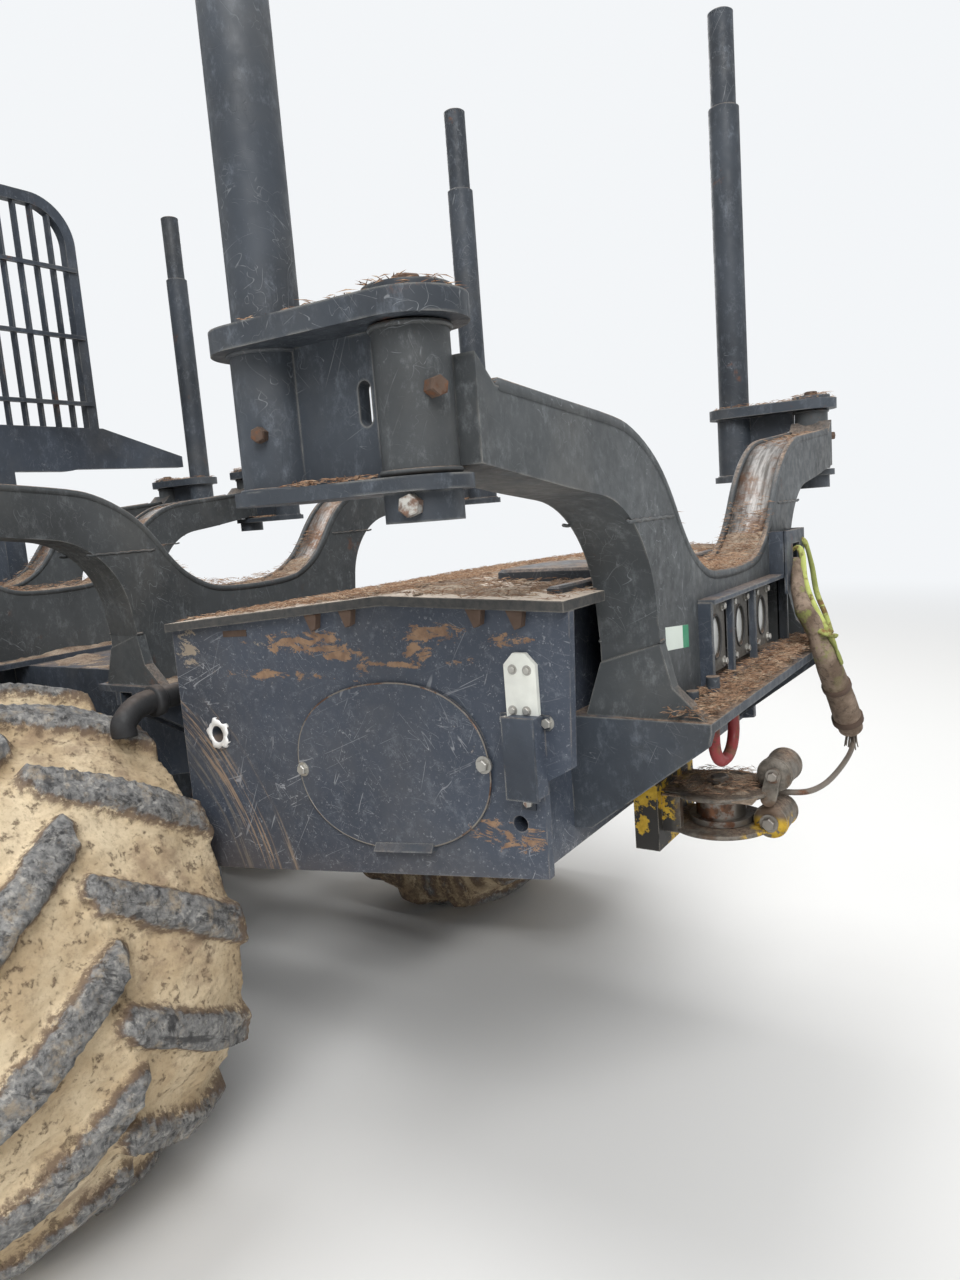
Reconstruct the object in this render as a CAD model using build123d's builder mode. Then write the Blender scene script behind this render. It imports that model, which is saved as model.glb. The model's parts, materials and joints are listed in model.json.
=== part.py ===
from build123d import *
import os
from math import atan2, copysign, cos, degrees, hypot, radians, sin, tan

os.makedirs("parts", exist_ok=True)

# Forestry forwarder, millimetres. +X is forward, +Y left, +Z up, with the ground at Z 0 and
# X 0 halfway between the tail rollers and the front bumper.

# Stations along the machine
TAIL_X = -4580
BUMPER_X = 4580
BUNK_X = (-4440, -2846, -1720, -1120)      # rear face of each bunk, from the tail forward
BUNK_REACH = (1, -1, -1, -1)               # 1 where its stake brackets point forward, -1 rearward
GATE_X = -820
REAR_AXLE_X = (-2840, -1340)
FRONT_AXLE_X = (2010, 3510)
CRANE_X = 60
JOINT_X = 810
CAB_REAR_X = 1130
HOOD_REAR_X = 2790
HOOD_FRONT_X = 4450

# Wheels
TYRE_R = 670
TYRE_WIDTH = 710
RIM_R = 337
TRACK_Y = 1065                             # middle of a wheel from the machine's middle
LUGS = 14                                  # on each half of a tread, and flats round a rim
LUG_DEPTH = 48
LUG_TIP_ANGLE = 6.6
LUG_ROOT_ANGLE = 9.4
LUG_SWEEP = 20.0                           # how far a lug trails from the middle to the shoulder
BEAD_GAP = 0.3
HUB_R = 150
HUB_GAP = 0.3                              # wheel hub to bogie case
AXLE_Z = TYRE_R * cos(radians(LUG_TIP_ANGLE / 2))

# Frames
FRAME_HALF = 220
FRAME_LOW_Z = 860
FRAME_TOP_Z = 1225
SEAT_PLATE = 20
BUNK_BASE_Z = FRAME_TOP_Z + SEAT_PLATE
SEAT_HALF = 500
BOGIE_Y = 560
BOGIE_THICK = 190
BOGIE_END_R = 225
AXLE_TUBE_R = 150
AXLE_TUBE_Z = 760
RUN_GAP = 0.05                             # radial clearance of a pin in its bore
FORK_PLATE = 45
JOINT_PIN_R = 60
JOINT_HUB_R = 150
STEER_LUG_Y = 310
STEER_Z = 1045
STEER_ANCHOR_X = -100
STEER_BARREL_R = 48
STEER_ROD_R = 26

# Bunks, stake brackets and stakes
BUNK_DEPTH = 127
BUNK_FLOOR_Z = 1483
ARM_TIP_Y = 1066
PIVOT_Y = 1105
BRACKET_SPAN = 257
SOCKET_R = 58
STAKE_R = 50
STAKE_TIP_R = 41
STAKE_STEP_Z = 2930
STAKE_TOP_Z = 3220
PIVOT_PIN_R = 30
PIVOT_HUB_R = 52
HUB_SET = 72                               # from a bunk's face, on the side its brackets leave
LOW_PLATE_Z = 1702
LOW_PLATE = 20
HIGH_PLATE_Z = 1918
HIGH_PLATE = 33
PLATE_GAP = 2
PIN_FOOT_Z = 1662
PIN_FOOT_R = 54
PIN_HEAD = 12
WEB = 24

# Gate
GATE_HALF = 890
GATE_TOP_Z = 3370
GATE_SILL_Z = 2030
GATE_FRAME = 55
GATE_BAR_PITCH = 85
GATE_RAIL_PITCH = 330
GATE_THICK = 50
GATE_CORNER_R = 220
GATE_INNER_R = 170
GATE_BAR_FOOT_Z = 2250

# Winch box
BOX_HALF = 660
BOX_WALL = 20
ROOF_PLATE = 20
ROOF_FRONT = (-3260, 1438)
ROOF_RIDGE = (-3938, 1498)
ROOF_FALL = 0.036                          # per millimetre behind the ridge
COVER_MIDDLE = (-3908, 1158)
COVER_HALF = (256, 177)
COVER_TILT = 7
COVER_SQUARENESS = 2.25                    # 2 gives an ellipse, more gives squarer corners
COVER_THICK = 8

# Crane, drawn in its own plane: reach is out from the pillar's axis, towards the tail
PEDESTAL_TOP_Z = 1520
PILLAR_R = 165
SHOULDER_REACH = 100
SHOULDER_Z = 3750
BOOM_ANGLE = 40
BOOM_LENGTH = 2900
BOOM_HALF = 105
JIB_ANGLE = 10
JIB_LENGTH = 1900
JIB_HALF = 72
JIB_WALL = 14
SLIDE_GAP = 6
TIP_OVERHANG = 150
CRANE_PIN_R = 45
EAR = 34
EAR_GAP = 5
LIFT_FOOT_REACH = 330                      # lift cylinder's foot on the pillar
LIFT_FOOT_Z = 2450
LIFT_ALONG = 660                           # its upper eye, along the boom
LIFT_DROP = 230                             # and below the boom's line
JIB_FOOT_ALONG = 750                       # jib cylinder's foot, along the boom
JIB_FOOT_RISE = 270
JIB_LUG_R = 400                            # its rod's eye, from the elbow
JIB_LUG_ANGLE = 160                        # and how far that lug stands back from the jib's line
CYLINDER_R = 72
CYLINDER_ROD_R = 36
CYLINDER_EYE_R = 62


def outline_face(points, plane):
    """Return the face inside a closed outline drawn on a plane."""
    with BuildSketch(plane) as face:
        with BuildLine():
            Polyline(*points, close=True)
        make_face()
    return face.sketch


def side_plate(points, low_y, high_y, mode=Mode.ADD):
    """Extrude an outline of X and Z from one Y to another."""
    face = outline_face(points, Plane.XZ.offset(-high_y))
    extrude(face, amount=high_y - low_y, mode=mode)


def flat_plate(points, low_z, high_z, mode=Mode.ADD):
    """Extrude an outline of X and Y from one Z to another."""
    face = outline_face(points, Plane.XY.offset(low_z))
    extrude(face, amount=high_z - low_z, mode=mode)


def cross_plate(points, low_x, high_x, mode=Mode.ADD):
    """Extrude an outline of Y and Z from one X to another."""
    face = outline_face(points, Plane.YZ.offset(low_x))
    extrude(face, amount=high_x - low_x, mode=mode)


def block(low, high, mode=Mode.ADD):
    """Fill the box between two corners."""
    corners = [(low[0], low[1]), (high[0], low[1]), (high[0], high[1]), (low[0], high[1])]
    flat_plate(corners, low[2], high[2], mode=mode)


def rod(start, axis, radius, length, mode=Mode.ADD):
    """Run a round bar from a point along an axis."""
    with BuildSketch(Plane(origin=start, z_dir=axis)) as disc:
        Circle(radius)
    extrude(disc.sketch, amount=length, mode=mode)


def disc_hull(points, radius, low_y, high_y):
    """Extrude the outline that wraps equal discs at some points of X and Z."""
    with BuildSketch(Plane.XZ.offset(-high_y)) as face:
        with Locations(*points):
            Circle(radius)
        make_hull()
    extrude(face.sketch, amount=high_y - low_y)


def cross_rod(x, z, radius, half, mode=Mode.ADD):
    """Run a round bar across the machine, as far each side of its middle."""
    rod((x, -half, z), (0, 1, 0), radius, 2 * half, mode=mode)


def upright(x, y, low_z, high_z, radius, mode=Mode.ADD):
    """Stand a round bar between two heights."""
    rod((x, y, low_z), (0, 0, 1), radius, high_z - low_z, mode=mode)


def faceted(rings):
    """Return the solid whose skin joins each ring of points to the next in flat triangles."""
    facets = [Face(Wire.make_polygon(ring, close=True)) for ring in (rings[0], rings[-1])]
    for near, far in zip(rings[:-1], rings[1:]):
        count = max(len(near), len(far))
        for i in range(count):
            a, b = (ring[i * len(ring) // count] for ring in (near, far))
            c, d = (ring[(i + 1) * len(ring) // count % len(ring)] for ring in (near, far))
            for corners in ((a, c, d), (a, d, b)):
                if len({tuple(corner) for corner in corners}) == 3:
                    facets.append(Face(Wire.make_polygon(corners, close=True)))
    return Solid(Shell(facets))


def flat_ring(distance, radius):
    """Return the corners of a many-sided ring round the wheel's axis."""
    turns = [radians(-90 + (lug - 0.5) * 360 / LUGS) for lug in range(LUGS)]
    return [Vector(radius * cos(a), distance, radius * sin(a)) for a in turns]


def tread_ring(distance, drop, phase):
    """Return the toothed outline of the tread at one distance from its middle."""
    ring = []
    tip = TYRE_R - drop
    root = TYRE_R - LUG_DEPTH - 0.8 * drop
    for lug in range(LUGS):
        middle = -90 + lug * 360 / LUGS + phase
        for radius, offset in (
            (root, -LUG_ROOT_ANGLE / 2),
            (tip, -LUG_TIP_ANGLE / 2),
            (tip, LUG_TIP_ANGLE / 2),
            (root, LUG_ROOT_ANGLE / 2),
        ):
            angle = radians(middle + offset)
            ring.append(Vector(radius * cos(angle), distance, radius * sin(angle)))
    return ring


def finish(part, name):
    """Label a piece and write it."""
    part.label = name
    export_step(part, "parts/" + name + ".step")


# Wheel: a lugged tyre on a dished rim, made about its own centre with the outer side at +Y
SHOULDER_Y = TYRE_WIDTH / 2
HUB_INNER_Y = TRACK_Y - BOGIE_Y - BOGIE_THICK / 2 - HUB_GAP
TREAD = (
    # distance from the middle, drop of the lug tip, share of the sweep
    (0, 0, 0.0),
    (0.36 * TYRE_WIDTH, 6, 0.74),
    (SHOULDER_Y, 58, 1.0),
)
BEAD_Y = SHOULDER_Y - 52
RIM = (
    # distance from the middle, radius
    (-HUB_INNER_Y, HUB_R - 20),
    (-40, HUB_R - 10),
    (10, RIM_R - 22),
    (-BEAD_Y - 6, RIM_R - 22),
    (-BEAD_Y - 18, RIM_R + 21),
    (-BEAD_Y, RIM_R),
    (BEAD_Y, RIM_R),
    (BEAD_Y + 18, RIM_R + 21),
    (BEAD_Y + 6, RIM_R - 22),
    (50, RIM_R - 22),
    (50, HUB_R + 10),
    (150, HUB_R - 25),
)

with BuildPart() as wheel:
    for side in (1, -1):
        phase = 0 if side == 1 else 180 / LUGS
        rings = [tread_ring(side * y, drop, phase + share * LUG_SWEEP) for y, drop, share in TREAD]
        rings.append(flat_ring(side * BEAD_Y, RIM_R + BEAD_GAP))
        add(faceted(rings))
    with BuildSketch(Plane.XZ) as bore:
        bore_corners = [(p.X, p.Z) for p in flat_ring(0, RIM_R + BEAD_GAP)]
        with BuildLine():
            Polyline(*bore_corners, close=True)
        make_face()
    extrude(bore.sketch, amount=TYRE_WIDTH, both=True, mode=Mode.SUBTRACT)
    add(faceted([flat_ring(y, radius) for y, radius in RIM]))

WHEEL_PLACES = [
    (end + "_" + side + "_" + place, x, 1 if side == "left" else -1)
    for end, axles in (("rear", REAR_AXLE_X), ("front", FRONT_AXLE_X))
    for place, x in zip(("trailing", "leading"), axles)
    for side in ("left", "right")
]
for name, x, side in WHEEL_PLACES:
    hung = wheel.part if side == 1 else mirror(wheel.part, about=Plane.XZ)
    finish(hung.moved(Location((x, side * TRACK_Y, AXLE_Z))), "wheel_" + name)

# Bogie cases: one each side, rocking on the axle's ends, wheels at both its ends
with BuildPart() as bogie:
    half_base = (REAR_AXLE_X[1] - REAR_AXLE_X[0]) / 2
    with BuildSketch(Plane.XZ.offset(BOGIE_THICK / 2)) as case:
        with BuildLine():
            top = (0, BOGIE_END_R + 60)
            shoulder = (half_base - 120, BOGIE_END_R - 20)
            end = (half_base + BOGIE_END_R, 0)
            foot = (half_base, -BOGIE_END_R)
            Line(top, shoulder)
            ThreePointArc(shoulder, end, foot)
            Polyline(foot, (0, -BOGIE_END_R + 40), top)
        make_face()
        mirror(about=Plane.YZ)
    extrude(case.sketch, amount=-BOGIE_THICK)
    for x in (-half_base, half_base):
        rod((x, BOGIE_THICK / 2, 0), (0, -1, 0), HUB_R + 40, BOGIE_THICK + 30)
for name, axles in (("rear_bogies", REAR_AXLE_X), ("front_bogies", FRONT_AXLE_X)):
    middle_x = (axles[0] + axles[1]) / 2
    cases = []
    for side in (1, -1):
        turned = bogie.part if side == 1 else mirror(bogie.part, about=Plane.XZ)
        cases.append(turned.moved(Location((middle_x, side * BOGIE_Y, AXLE_Z))))
    finish(Compound(children=cases), name)


def axle(middle_x):
    """Add the axle that crosses the frame and carries the two bogie cases."""
    cross_rod(middle_x, AXLE_TUBE_Z, AXLE_TUBE_R, BOGIE_Y - BOGIE_THICK / 2)
    cross_rod(middle_x, AXLE_TUBE_Z, AXLE_TUBE_R + 60, 170)


def span(side, near, far):
    """Return the two Y limits of a piece on one side of the machine, lower first."""
    return sorted((side * near, side * far))


# Rear frame: the load beam, axle, bunk seats, crane pedestal and the rear half of the joint
REAR_BEAM_X = (-3260, 500)
PEDESTAL_HALF = 330
with BuildPart() as rear_frame:
    low, high = REAR_BEAM_X
    with BuildSketch(Plane.XZ.offset(-FRAME_HALF)) as beam:
        with BuildLine():
            Polyline(
                (low, FRAME_TOP_Z), (low, 1010), (low + 300, 940), (-2500, FRAME_LOW_Z),
                (-100, FRAME_LOW_Z), (high, 900), (high, FRAME_TOP_Z), close=True,
            )
        make_face()
    extrude(beam.sketch, amount=2 * FRAME_HALF)
    axle(sum(REAR_AXLE_X) / 2)
    for x in BUNK_X[1:] + (GATE_X,):
        seat = [(x - 90, -SEAT_HALF), (x + 190, -SEAT_HALF), (x + 190, SEAT_HALF), (x - 90, SEAT_HALF)]
        flat_plate(seat, FRAME_TOP_Z, BUNK_BASE_Z)
        for side in (1, -1):
            gusset = [
                (side * FRAME_HALF, FRAME_TOP_Z), (side * SEAT_HALF, FRAME_TOP_Z),
                (side * SEAT_HALF, FRAME_TOP_Z - 40), (side * FRAME_HALF, FRAME_TOP_Z - 220),
            ]
            cross_plate(gusset, x + 15, x + 35)
            cross_plate(gusset, x + 90, x + 110)
    pedestal = [
        (CRANE_X - PEDESTAL_HALF, FRAME_TOP_Z), (CRANE_X - 210, PEDESTAL_TOP_Z),
        (CRANE_X + 210, PEDESTAL_TOP_Z), (CRANE_X + PEDESTAL_HALF, FRAME_TOP_Z),
    ]
    side_plate(pedestal, -190, 190)
    for x in (CRANE_X - 150, CRANE_X + 150):
        cross_rod(x, 1385, 78, 520)
    for z in (FRAME_LOW_Z + 20, FRAME_TOP_Z - 20 - FORK_PLATE):
        with BuildSketch(Plane.XY.offset(z)) as fork:
            with Locations((JOINT_X, 0)):
                Circle(JOINT_HUB_R)
            with Locations(((JOINT_X + high) / 2 - 20, 0)):
                Rectangle(JOINT_X - high + 40, 2 * JOINT_HUB_R)
        extrude(fork.sketch, amount=FORK_PLATE)
    upright(JOINT_X, 0, FRAME_LOW_Z, FRAME_TOP_Z, JOINT_PIN_R)
    for side in (1, -1):
        near, far = span(side, FRAME_HALF, STEER_LUG_Y + 40)
        block((STEER_ANCHOR_X - 90, near, STEER_Z - 45), (STEER_ANCHOR_X - 45, far, STEER_Z + 45))
finish(rear_frame.part, "rear_frame")

# Tail carrier: the rearmost bunk's seat, cranked up over the winch box
BOX_REAR_X = -4240
with BuildPart() as tail_carrier:
    block((BUNK_X[0] - 100, -SEAT_HALF, FRAME_TOP_Z), (BOX_REAR_X, SEAT_HALF, BUNK_BASE_Z))
    for y in (-490, 490):
        gusset = [(-4540, FRAME_TOP_Z), (-4532, 1198), (-4281, 1010), (BOX_REAR_X, 1006),
                  (BOX_REAR_X, FRAME_TOP_Z)]
        side_plate(gusset, y - 10, y + 10)
    for x, y, radius, rise in ((-4478, 300, 14, 50), (-4470, 400, 12, 40)):
        upright(x, y, BUNK_BASE_Z, BUNK_BASE_Z + rise, radius)
finish(tail_carrier.part, "tail_carrier")

# Winch box: a body between two longer side plates, with an oval cover on its left


def roof_height(x):
    """Return the height of the side plates' top edge behind the roof's ridge."""
    return ROOF_RIDGE[1] - ROOF_FALL * (ROOF_RIDGE[0] - x)


def cover_point(turn):
    """Return a point X, Z of the cover's rim, where |along/a|^n + |rise/b|^n = 1."""
    share = 2 / COVER_SQUARENESS
    along = COVER_HALF[0] * copysign(abs(cos(turn)) ** share, cos(turn))
    rise = COVER_HALF[1] * copysign(abs(sin(turn)) ** share, sin(turn))
    tilt = radians(COVER_TILT)
    x = COVER_MIDDLE[0] - along * cos(tilt) + rise * sin(tilt)
    return x, COVER_MIDDLE[1] + along * sin(tilt) + rise * cos(tilt)


ROOF_REAR_X, EAR_REAR_X = -4305, -4352
BOX_FOOT = [(-3357, 848), (-3260, 840)]
BOX_SIDE = [
    ROOF_FRONT, ROOF_RIDGE, (EAR_REAR_X, roof_height(EAR_REAR_X)), (-4338, 1192),
    (-4277, 1158), (-4276, 968),
] + BOX_FOOT
BOX_BODY = [ROOF_FRONT, ROOF_RIDGE, (BOX_REAR_X, roof_height(BOX_REAR_X)), (BOX_REAR_X, 963)] + BOX_FOOT
LATCH = [(-4277, 1283), (-4217, 1283), (-4217, 1383), (-4235, 1403), (-4259, 1403), (-4277, 1383)]
GUARD = ((-4286, 1138), (-4224, 1290))
RING_HOLE = (-3391, 1191)
LOWER_HOLE = (-4220, 1072)
face_y = BOX_HALF + BOX_WALL
with BuildPart() as winch_box:
    side_plate(BOX_BODY, -BOX_HALF, BOX_HALF)
    for side in (1, -1):
        near, far = span(side, BOX_HALF, face_y)
        side_plate(BOX_SIDE, near, far)
    with BuildSketch(Plane.XZ.offset(-face_y)) as cover:
        with BuildLine():
            Spline(*[cover_point(radians(11.25 * k)) for k in range(32)], periodic=True)
        make_face()
    extrude(cover.sketch, amount=-COVER_THICK)
    side_plate(LATCH, face_y, face_y + 10)
    block((GUARD[0][0], face_y, GUARD[0][1]), (GUARD[1][0], face_y + 45, GUARD[1][1]))
    rod((RING_HOLE[0], face_y + 6, RING_HOLE[1]), (0, -1, 0), 38, 6)
    rod((RING_HOLE[0], face_y + 10, RING_HOLE[1]), (0, -1, 0), 20, 60, mode=Mode.SUBTRACT)
    rod((LOWER_HOLE[0], face_y + 10, LOWER_HOLE[1]), (0, -1, 0), 16, 60, mode=Mode.SUBTRACT)
finish(winch_box.part, "winch_box")

ROOF_HALF = BOX_HALF + 40
with BuildPart() as winch_roof:
    roof_line = [ROOF_FRONT, ROOF_RIDGE, (ROOF_REAR_X, roof_height(ROOF_REAR_X))]
    ear_line = [roof_line[-1], (EAR_REAR_X, roof_height(EAR_REAR_X))]
    for line, limits in ((roof_line, (-ROOF_HALF, ROOF_HALF)), (ear_line, (530, ROOF_HALF)),
                         (ear_line, (-ROOF_HALF, -530))):
        top_line = [(x, z + ROOF_PLATE) for x, z in reversed(line)]
        side_plate(line + top_line, *limits)
finish(winch_roof.part, "winch_roof")

# Bunks: cast arches on the frame's seats, each with two arms that carry the stake brackets
BUNK_INNER = [
    # half of the load side of a bunk, from its middle outward
    ((0, BUNK_FLOOR_Z), (150, 1490), None),
    ((150, 1490), (385, 1662), (290, 1553)),
    ((385, 1662), (640, 1802), (490, 1752)),
    ((640, 1802), (1020, 1838), None),
    ((1020, 1838), (ARM_TIP_Y, 1878), None),
]
BUNK_OUTER = [
    # and of its outer side, from the arm's tip down to the seat
    ((ARM_TIP_Y, 1878), (ARM_TIP_Y, 1733), None),
    ((ARM_TIP_Y, 1733), (820, 1696), None),
    ((820, 1696), (700, 1681), None),
    ((700, 1681), (492, 1480), (560, 1612)),
    ((492, 1480), (480, 1390), None),
    ((480, 1390), (480, BUNK_BASE_Z), None),
    ((480, BUNK_BASE_Z), (0, BUNK_BASE_Z), None),
]
HUB_TOP_Z = HIGH_PLATE_Z - PLATE_GAP
HUB_FOOT_Z = LOW_PLATE_Z + LOW_PLATE + PLATE_GAP
LAMP_BAY = ((-10, -366, 1255), (40, 240, 1443))
FOOT_FLARE = [(0, 1393), (-22, 1307), (-86, BUNK_BASE_Z), (165, BUNK_BASE_Z), (BUNK_DEPTH, 1354)]
with BuildPart() as arch:
    with BuildSketch(Plane.YZ) as arch_face:
        with BuildLine():
            for start, end, through in BUNK_INNER + BUNK_OUTER:
                if through is None:
                    Line(start, end)
                else:
                    ThreePointArc(start, through, end)
            Line((0, BUNK_BASE_Z), (0, BUNK_FLOOR_Z))
        make_face()
        mirror(about=Plane.YZ)
    extrude(arch_face.sketch, amount=BUNK_DEPTH)
    for side in (1, -1):
        near, far = span(side, 455, 485)
        side_plate(FOOT_FLARE, near, far)


def hub_x(reach):
    """Return where a bunk's pivots stand ahead of its rear face, by the way its brackets point."""
    return HUB_SET if reach == 1 else BUNK_DEPTH - HUB_SET


bunks = []
for x, reach in zip(BUNK_X, BUNK_REACH):
    with BuildPart() as bunk:
        add(arch.part)
        for y in (-PIVOT_Y, PIVOT_Y):
            upright(hub_x(reach), y, HUB_FOOT_Z, HUB_TOP_Z, PIVOT_HUB_R)
            upright(hub_x(reach), y, HUB_FOOT_Z, HUB_TOP_Z, PIVOT_PIN_R + RUN_GAP, mode=Mode.SUBTRACT)
        if x == BUNK_X[0]:
            block(*LAMP_BAY, mode=Mode.SUBTRACT)
    bunks.append(bunk.part.moved(Location((x, 0, 0))))
finish(Compound(children=bunks), "bunks")

# Stake brackets: two plates on the arm's pivot, a socket between them and a stepped stake
with BuildPart() as bracket:
    for low, thick, near_r, far_r in (
        (LOW_PLATE_Z, LOW_PLATE, 70, 72),
        (HIGH_PLATE_Z, HIGH_PLATE, 80, 84),
    ):
        with BuildSketch(Plane.XY.offset(low)) as plate:
            Circle(near_r)
            with Locations((BRACKET_SPAN, 0)):
                Circle(far_r)
            make_hull()
        extrude(plate.sketch, amount=thick)
    high_top = HIGH_PLATE_Z + HIGH_PLATE
    upright(0, 0, high_top, high_top + PIN_HEAD, 60)
    upright(0, 0, PIN_FOOT_Z, LOW_PLATE_Z, PIN_FOOT_R)
    upright(0, 0, LOW_PLATE_Z, high_top, PIVOT_PIN_R)
    upright(BRACKET_SPAN, 0, LOW_PLATE_Z + LOW_PLATE, HIGH_PLATE_Z, SOCKET_R)
    web_start = PIVOT_HUB_R + 5
    block((web_start, -WEB / 2, LOW_PLATE_Z + LOW_PLATE), (BRACKET_SPAN, WEB / 2, HIGH_PLATE_Z))
    with BuildSketch(Plane.XZ.offset(WEB)) as slot:
        with Locations((web_start + 19, 1826)):
            SlotOverall(61, 22, rotation=90)
    extrude(slot.sketch, amount=-2 * WEB, mode=Mode.SUBTRACT)
    upright(BRACKET_SPAN, 0, high_top, STAKE_STEP_Z, STAKE_R)
    upright(BRACKET_SPAN, 0, STAKE_STEP_Z, STAKE_TOP_Z, STAKE_TIP_R)
for number, (x, reach) in enumerate(zip(BUNK_X, BUNK_REACH), start=1):
    for side, side_name in ((1, "left"), (-1, "right")):
        turned = bracket.part if reach == 1 else bracket.part.rotate(Axis.Z, 180)
        placed = turned.moved(Location((x + hub_x(reach), side * PIVOT_Y, 0)))
        finish(placed, f"stake_bracket_{number}_{side_name}")

# Gate: a barred frame across the front of the load space, its sill drawn out into two wings
GATE_BACK_X = GATE_X - GATE_THICK / 2
GATE_FRONT_X = GATE_X + GATE_THICK / 2
GATE_INNER_HALF = GATE_HALF - GATE_FRAME
with BuildPart() as gate:
    wing = [(0, GATE_SILL_Z), (1400, GATE_SILL_Z + 20), (1400, 2110), (GATE_HALF + 20, GATE_BAR_FOOT_Z),
            (0, GATE_BAR_FOOT_Z)]
    cross_plate(wing + [(-y, z) for y, z in reversed(wing[1:-1])], GATE_BACK_X, GATE_FRONT_X)
    with BuildSketch(Plane.YZ.offset(GATE_BACK_X)) as frame_outline:
        height = GATE_TOP_Z - GATE_SILL_Z
        with Locations((0, GATE_SILL_Z + height / 2)):
            RectangleRounded(2 * GATE_HALF, height, GATE_CORNER_R)
            RectangleRounded(2 * GATE_INNER_HALF, height - 2 * GATE_FRAME, GATE_INNER_R, mode=Mode.SUBTRACT)
    extrude(frame_outline.sketch, amount=GATE_THICK)
    for side in (1, -1):
        near, far = span(side, 300, 400)
        block((GATE_BACK_X, near, BUNK_BASE_Z), (GATE_X + 95, far, GATE_SILL_Z + 60))
    bar_count = int(GATE_INNER_HALF / GATE_BAR_PITCH)
    for k in range(-bar_count, bar_count + 1):
        y = k * GATE_BAR_PITCH
        into_corner = max(0, abs(y) - (GATE_INNER_HALF - GATE_INNER_R))
        corner_rise = (GATE_INNER_R ** 2 - into_corner ** 2) ** 0.5
        bar_top = GATE_TOP_Z - GATE_FRAME - GATE_INNER_R + corner_rise
        block((GATE_X - 20, y - 5, GATE_BAR_FOOT_Z - 5), (GATE_X + 20, y + 5, bar_top + 5))
    for k in range(3):
        rail_z = GATE_TOP_Z - (k + 1) * GATE_RAIL_PITCH
        block((GATE_X - 40, 20 - GATE_HALF, rail_z - 20), (GATE_X - 18, GATE_HALF - 20, rail_z))
finish(gate.part, "gate")

# Fairlead at the tail: bracket, two round plates round a sheave, and two guide rollers
SHEAVE_X, SHEAVE_Y = -4410, 80
ROPE_START_X = -4530
ROLLER_R = 38
ROLLERS = ((TAIL_X + ROLLER_R, 1030), (-4530, 918))      # X and Z of the upper and the lower one
with BuildPart() as fairlead:
    for z in (893, 979):
        upright(SHEAVE_X, SHEAVE_Y, z, z + 12, 115)
        block((SHEAVE_X, 0, z), (BOX_REAR_X, 160, z + 12))
    upright(SHEAVE_X, SHEAVE_Y, 880, 1000, 22)
    block((BOX_REAR_X - 60, -40, 850), (BOX_REAR_X, 200, 1010))
    block((-4345, 156, 893), (-4280, 176, 991))
    for x, z in ROLLERS:
        rod((x, 2, z), (0, 1, 0), ROLLER_R, 96)
    for y, root_x in ((-10, SHEAVE_X - 87), (98, SHEAVE_X - 119)):
        for roller, root_z in zip(ROLLERS, (974, 910)):
            disc_hull([roller, (root_x, root_z)], 17, y, y + 12)
    block((ROPE_START_X, 20, 900), (SHEAVE_X - 101, 60, 985))
finish(fairlead.part, "fairlead")

with BuildPart() as fairlead_sheave:
    for low, high, radius in ((907, 921, 74), (921, 963, 58), (963, 977, 74)):
        upright(SHEAVE_X, SHEAVE_Y, low, high, radius)
    upright(SHEAVE_X, SHEAVE_Y, 900, 980, 22 + RUN_GAP, mode=Mode.SUBTRACT)
finish(fairlead_sheave.part, "fairlead_sheave")

# Tow hook: a bent bar under the tail carrier
with BuildPart() as tow_hook:
    with BuildLine() as bow:
        FilletPolyline((-4470, 285, FRAME_TOP_Z), (-4470, 285, 1095), (-4470, 150, 1095),
                       (-4470, 150, FRAME_TOP_Z), radius=60)
    with BuildSketch(Plane(origin=bow.line @ 0, z_dir=bow.line % 0)) as bow_end:
        Circle(13)
    sweep(bow_end.sketch, path=bow.line)
finish(tow_hook.part, "tow_hook")

# Winch rope from the rollers to its end fitting, which hangs on a peg beside the bunk's lamps
ROPE_R = 7
ROPE_POINTS = [
    (ROPE_START_X, 40, 972.5), (-4585, 40, 972.5), (-4605, -60, 958), (-4605, -210, 942),
    (-4605, -373, 942), (-4603, -462, 952), (-4602, -484, 975), (-4598, -470, 1000),
]


def bend_radii(points):
    """Return the largest safe arc for each inner corner of a run of points."""
    radii = []
    for a, b, c in zip(points[:-2], points[1:-1], points[2:]):
        before, after = Vector(*b) - Vector(*a), Vector(*c) - Vector(*b)
        half_turn = radians(before.get_angle(after)) / 2
        radii.append(0.45 * min(before.length, after.length) / tan(half_turn))
    return radii


with BuildPart() as winch_rope:
    with BuildLine() as rope_line:
        FilletPolyline(*ROPE_POINTS, radius=bend_radii(ROPE_POINTS))
    with BuildSketch(Plane(origin=rope_line.line @ 0, z_dir=rope_line.line % 0)) as rope_end:
        Circle(ROPE_R)
    sweep(rope_end.sketch, path=rope_line.line)
finish(winch_rope.part, "winch_rope")

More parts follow.
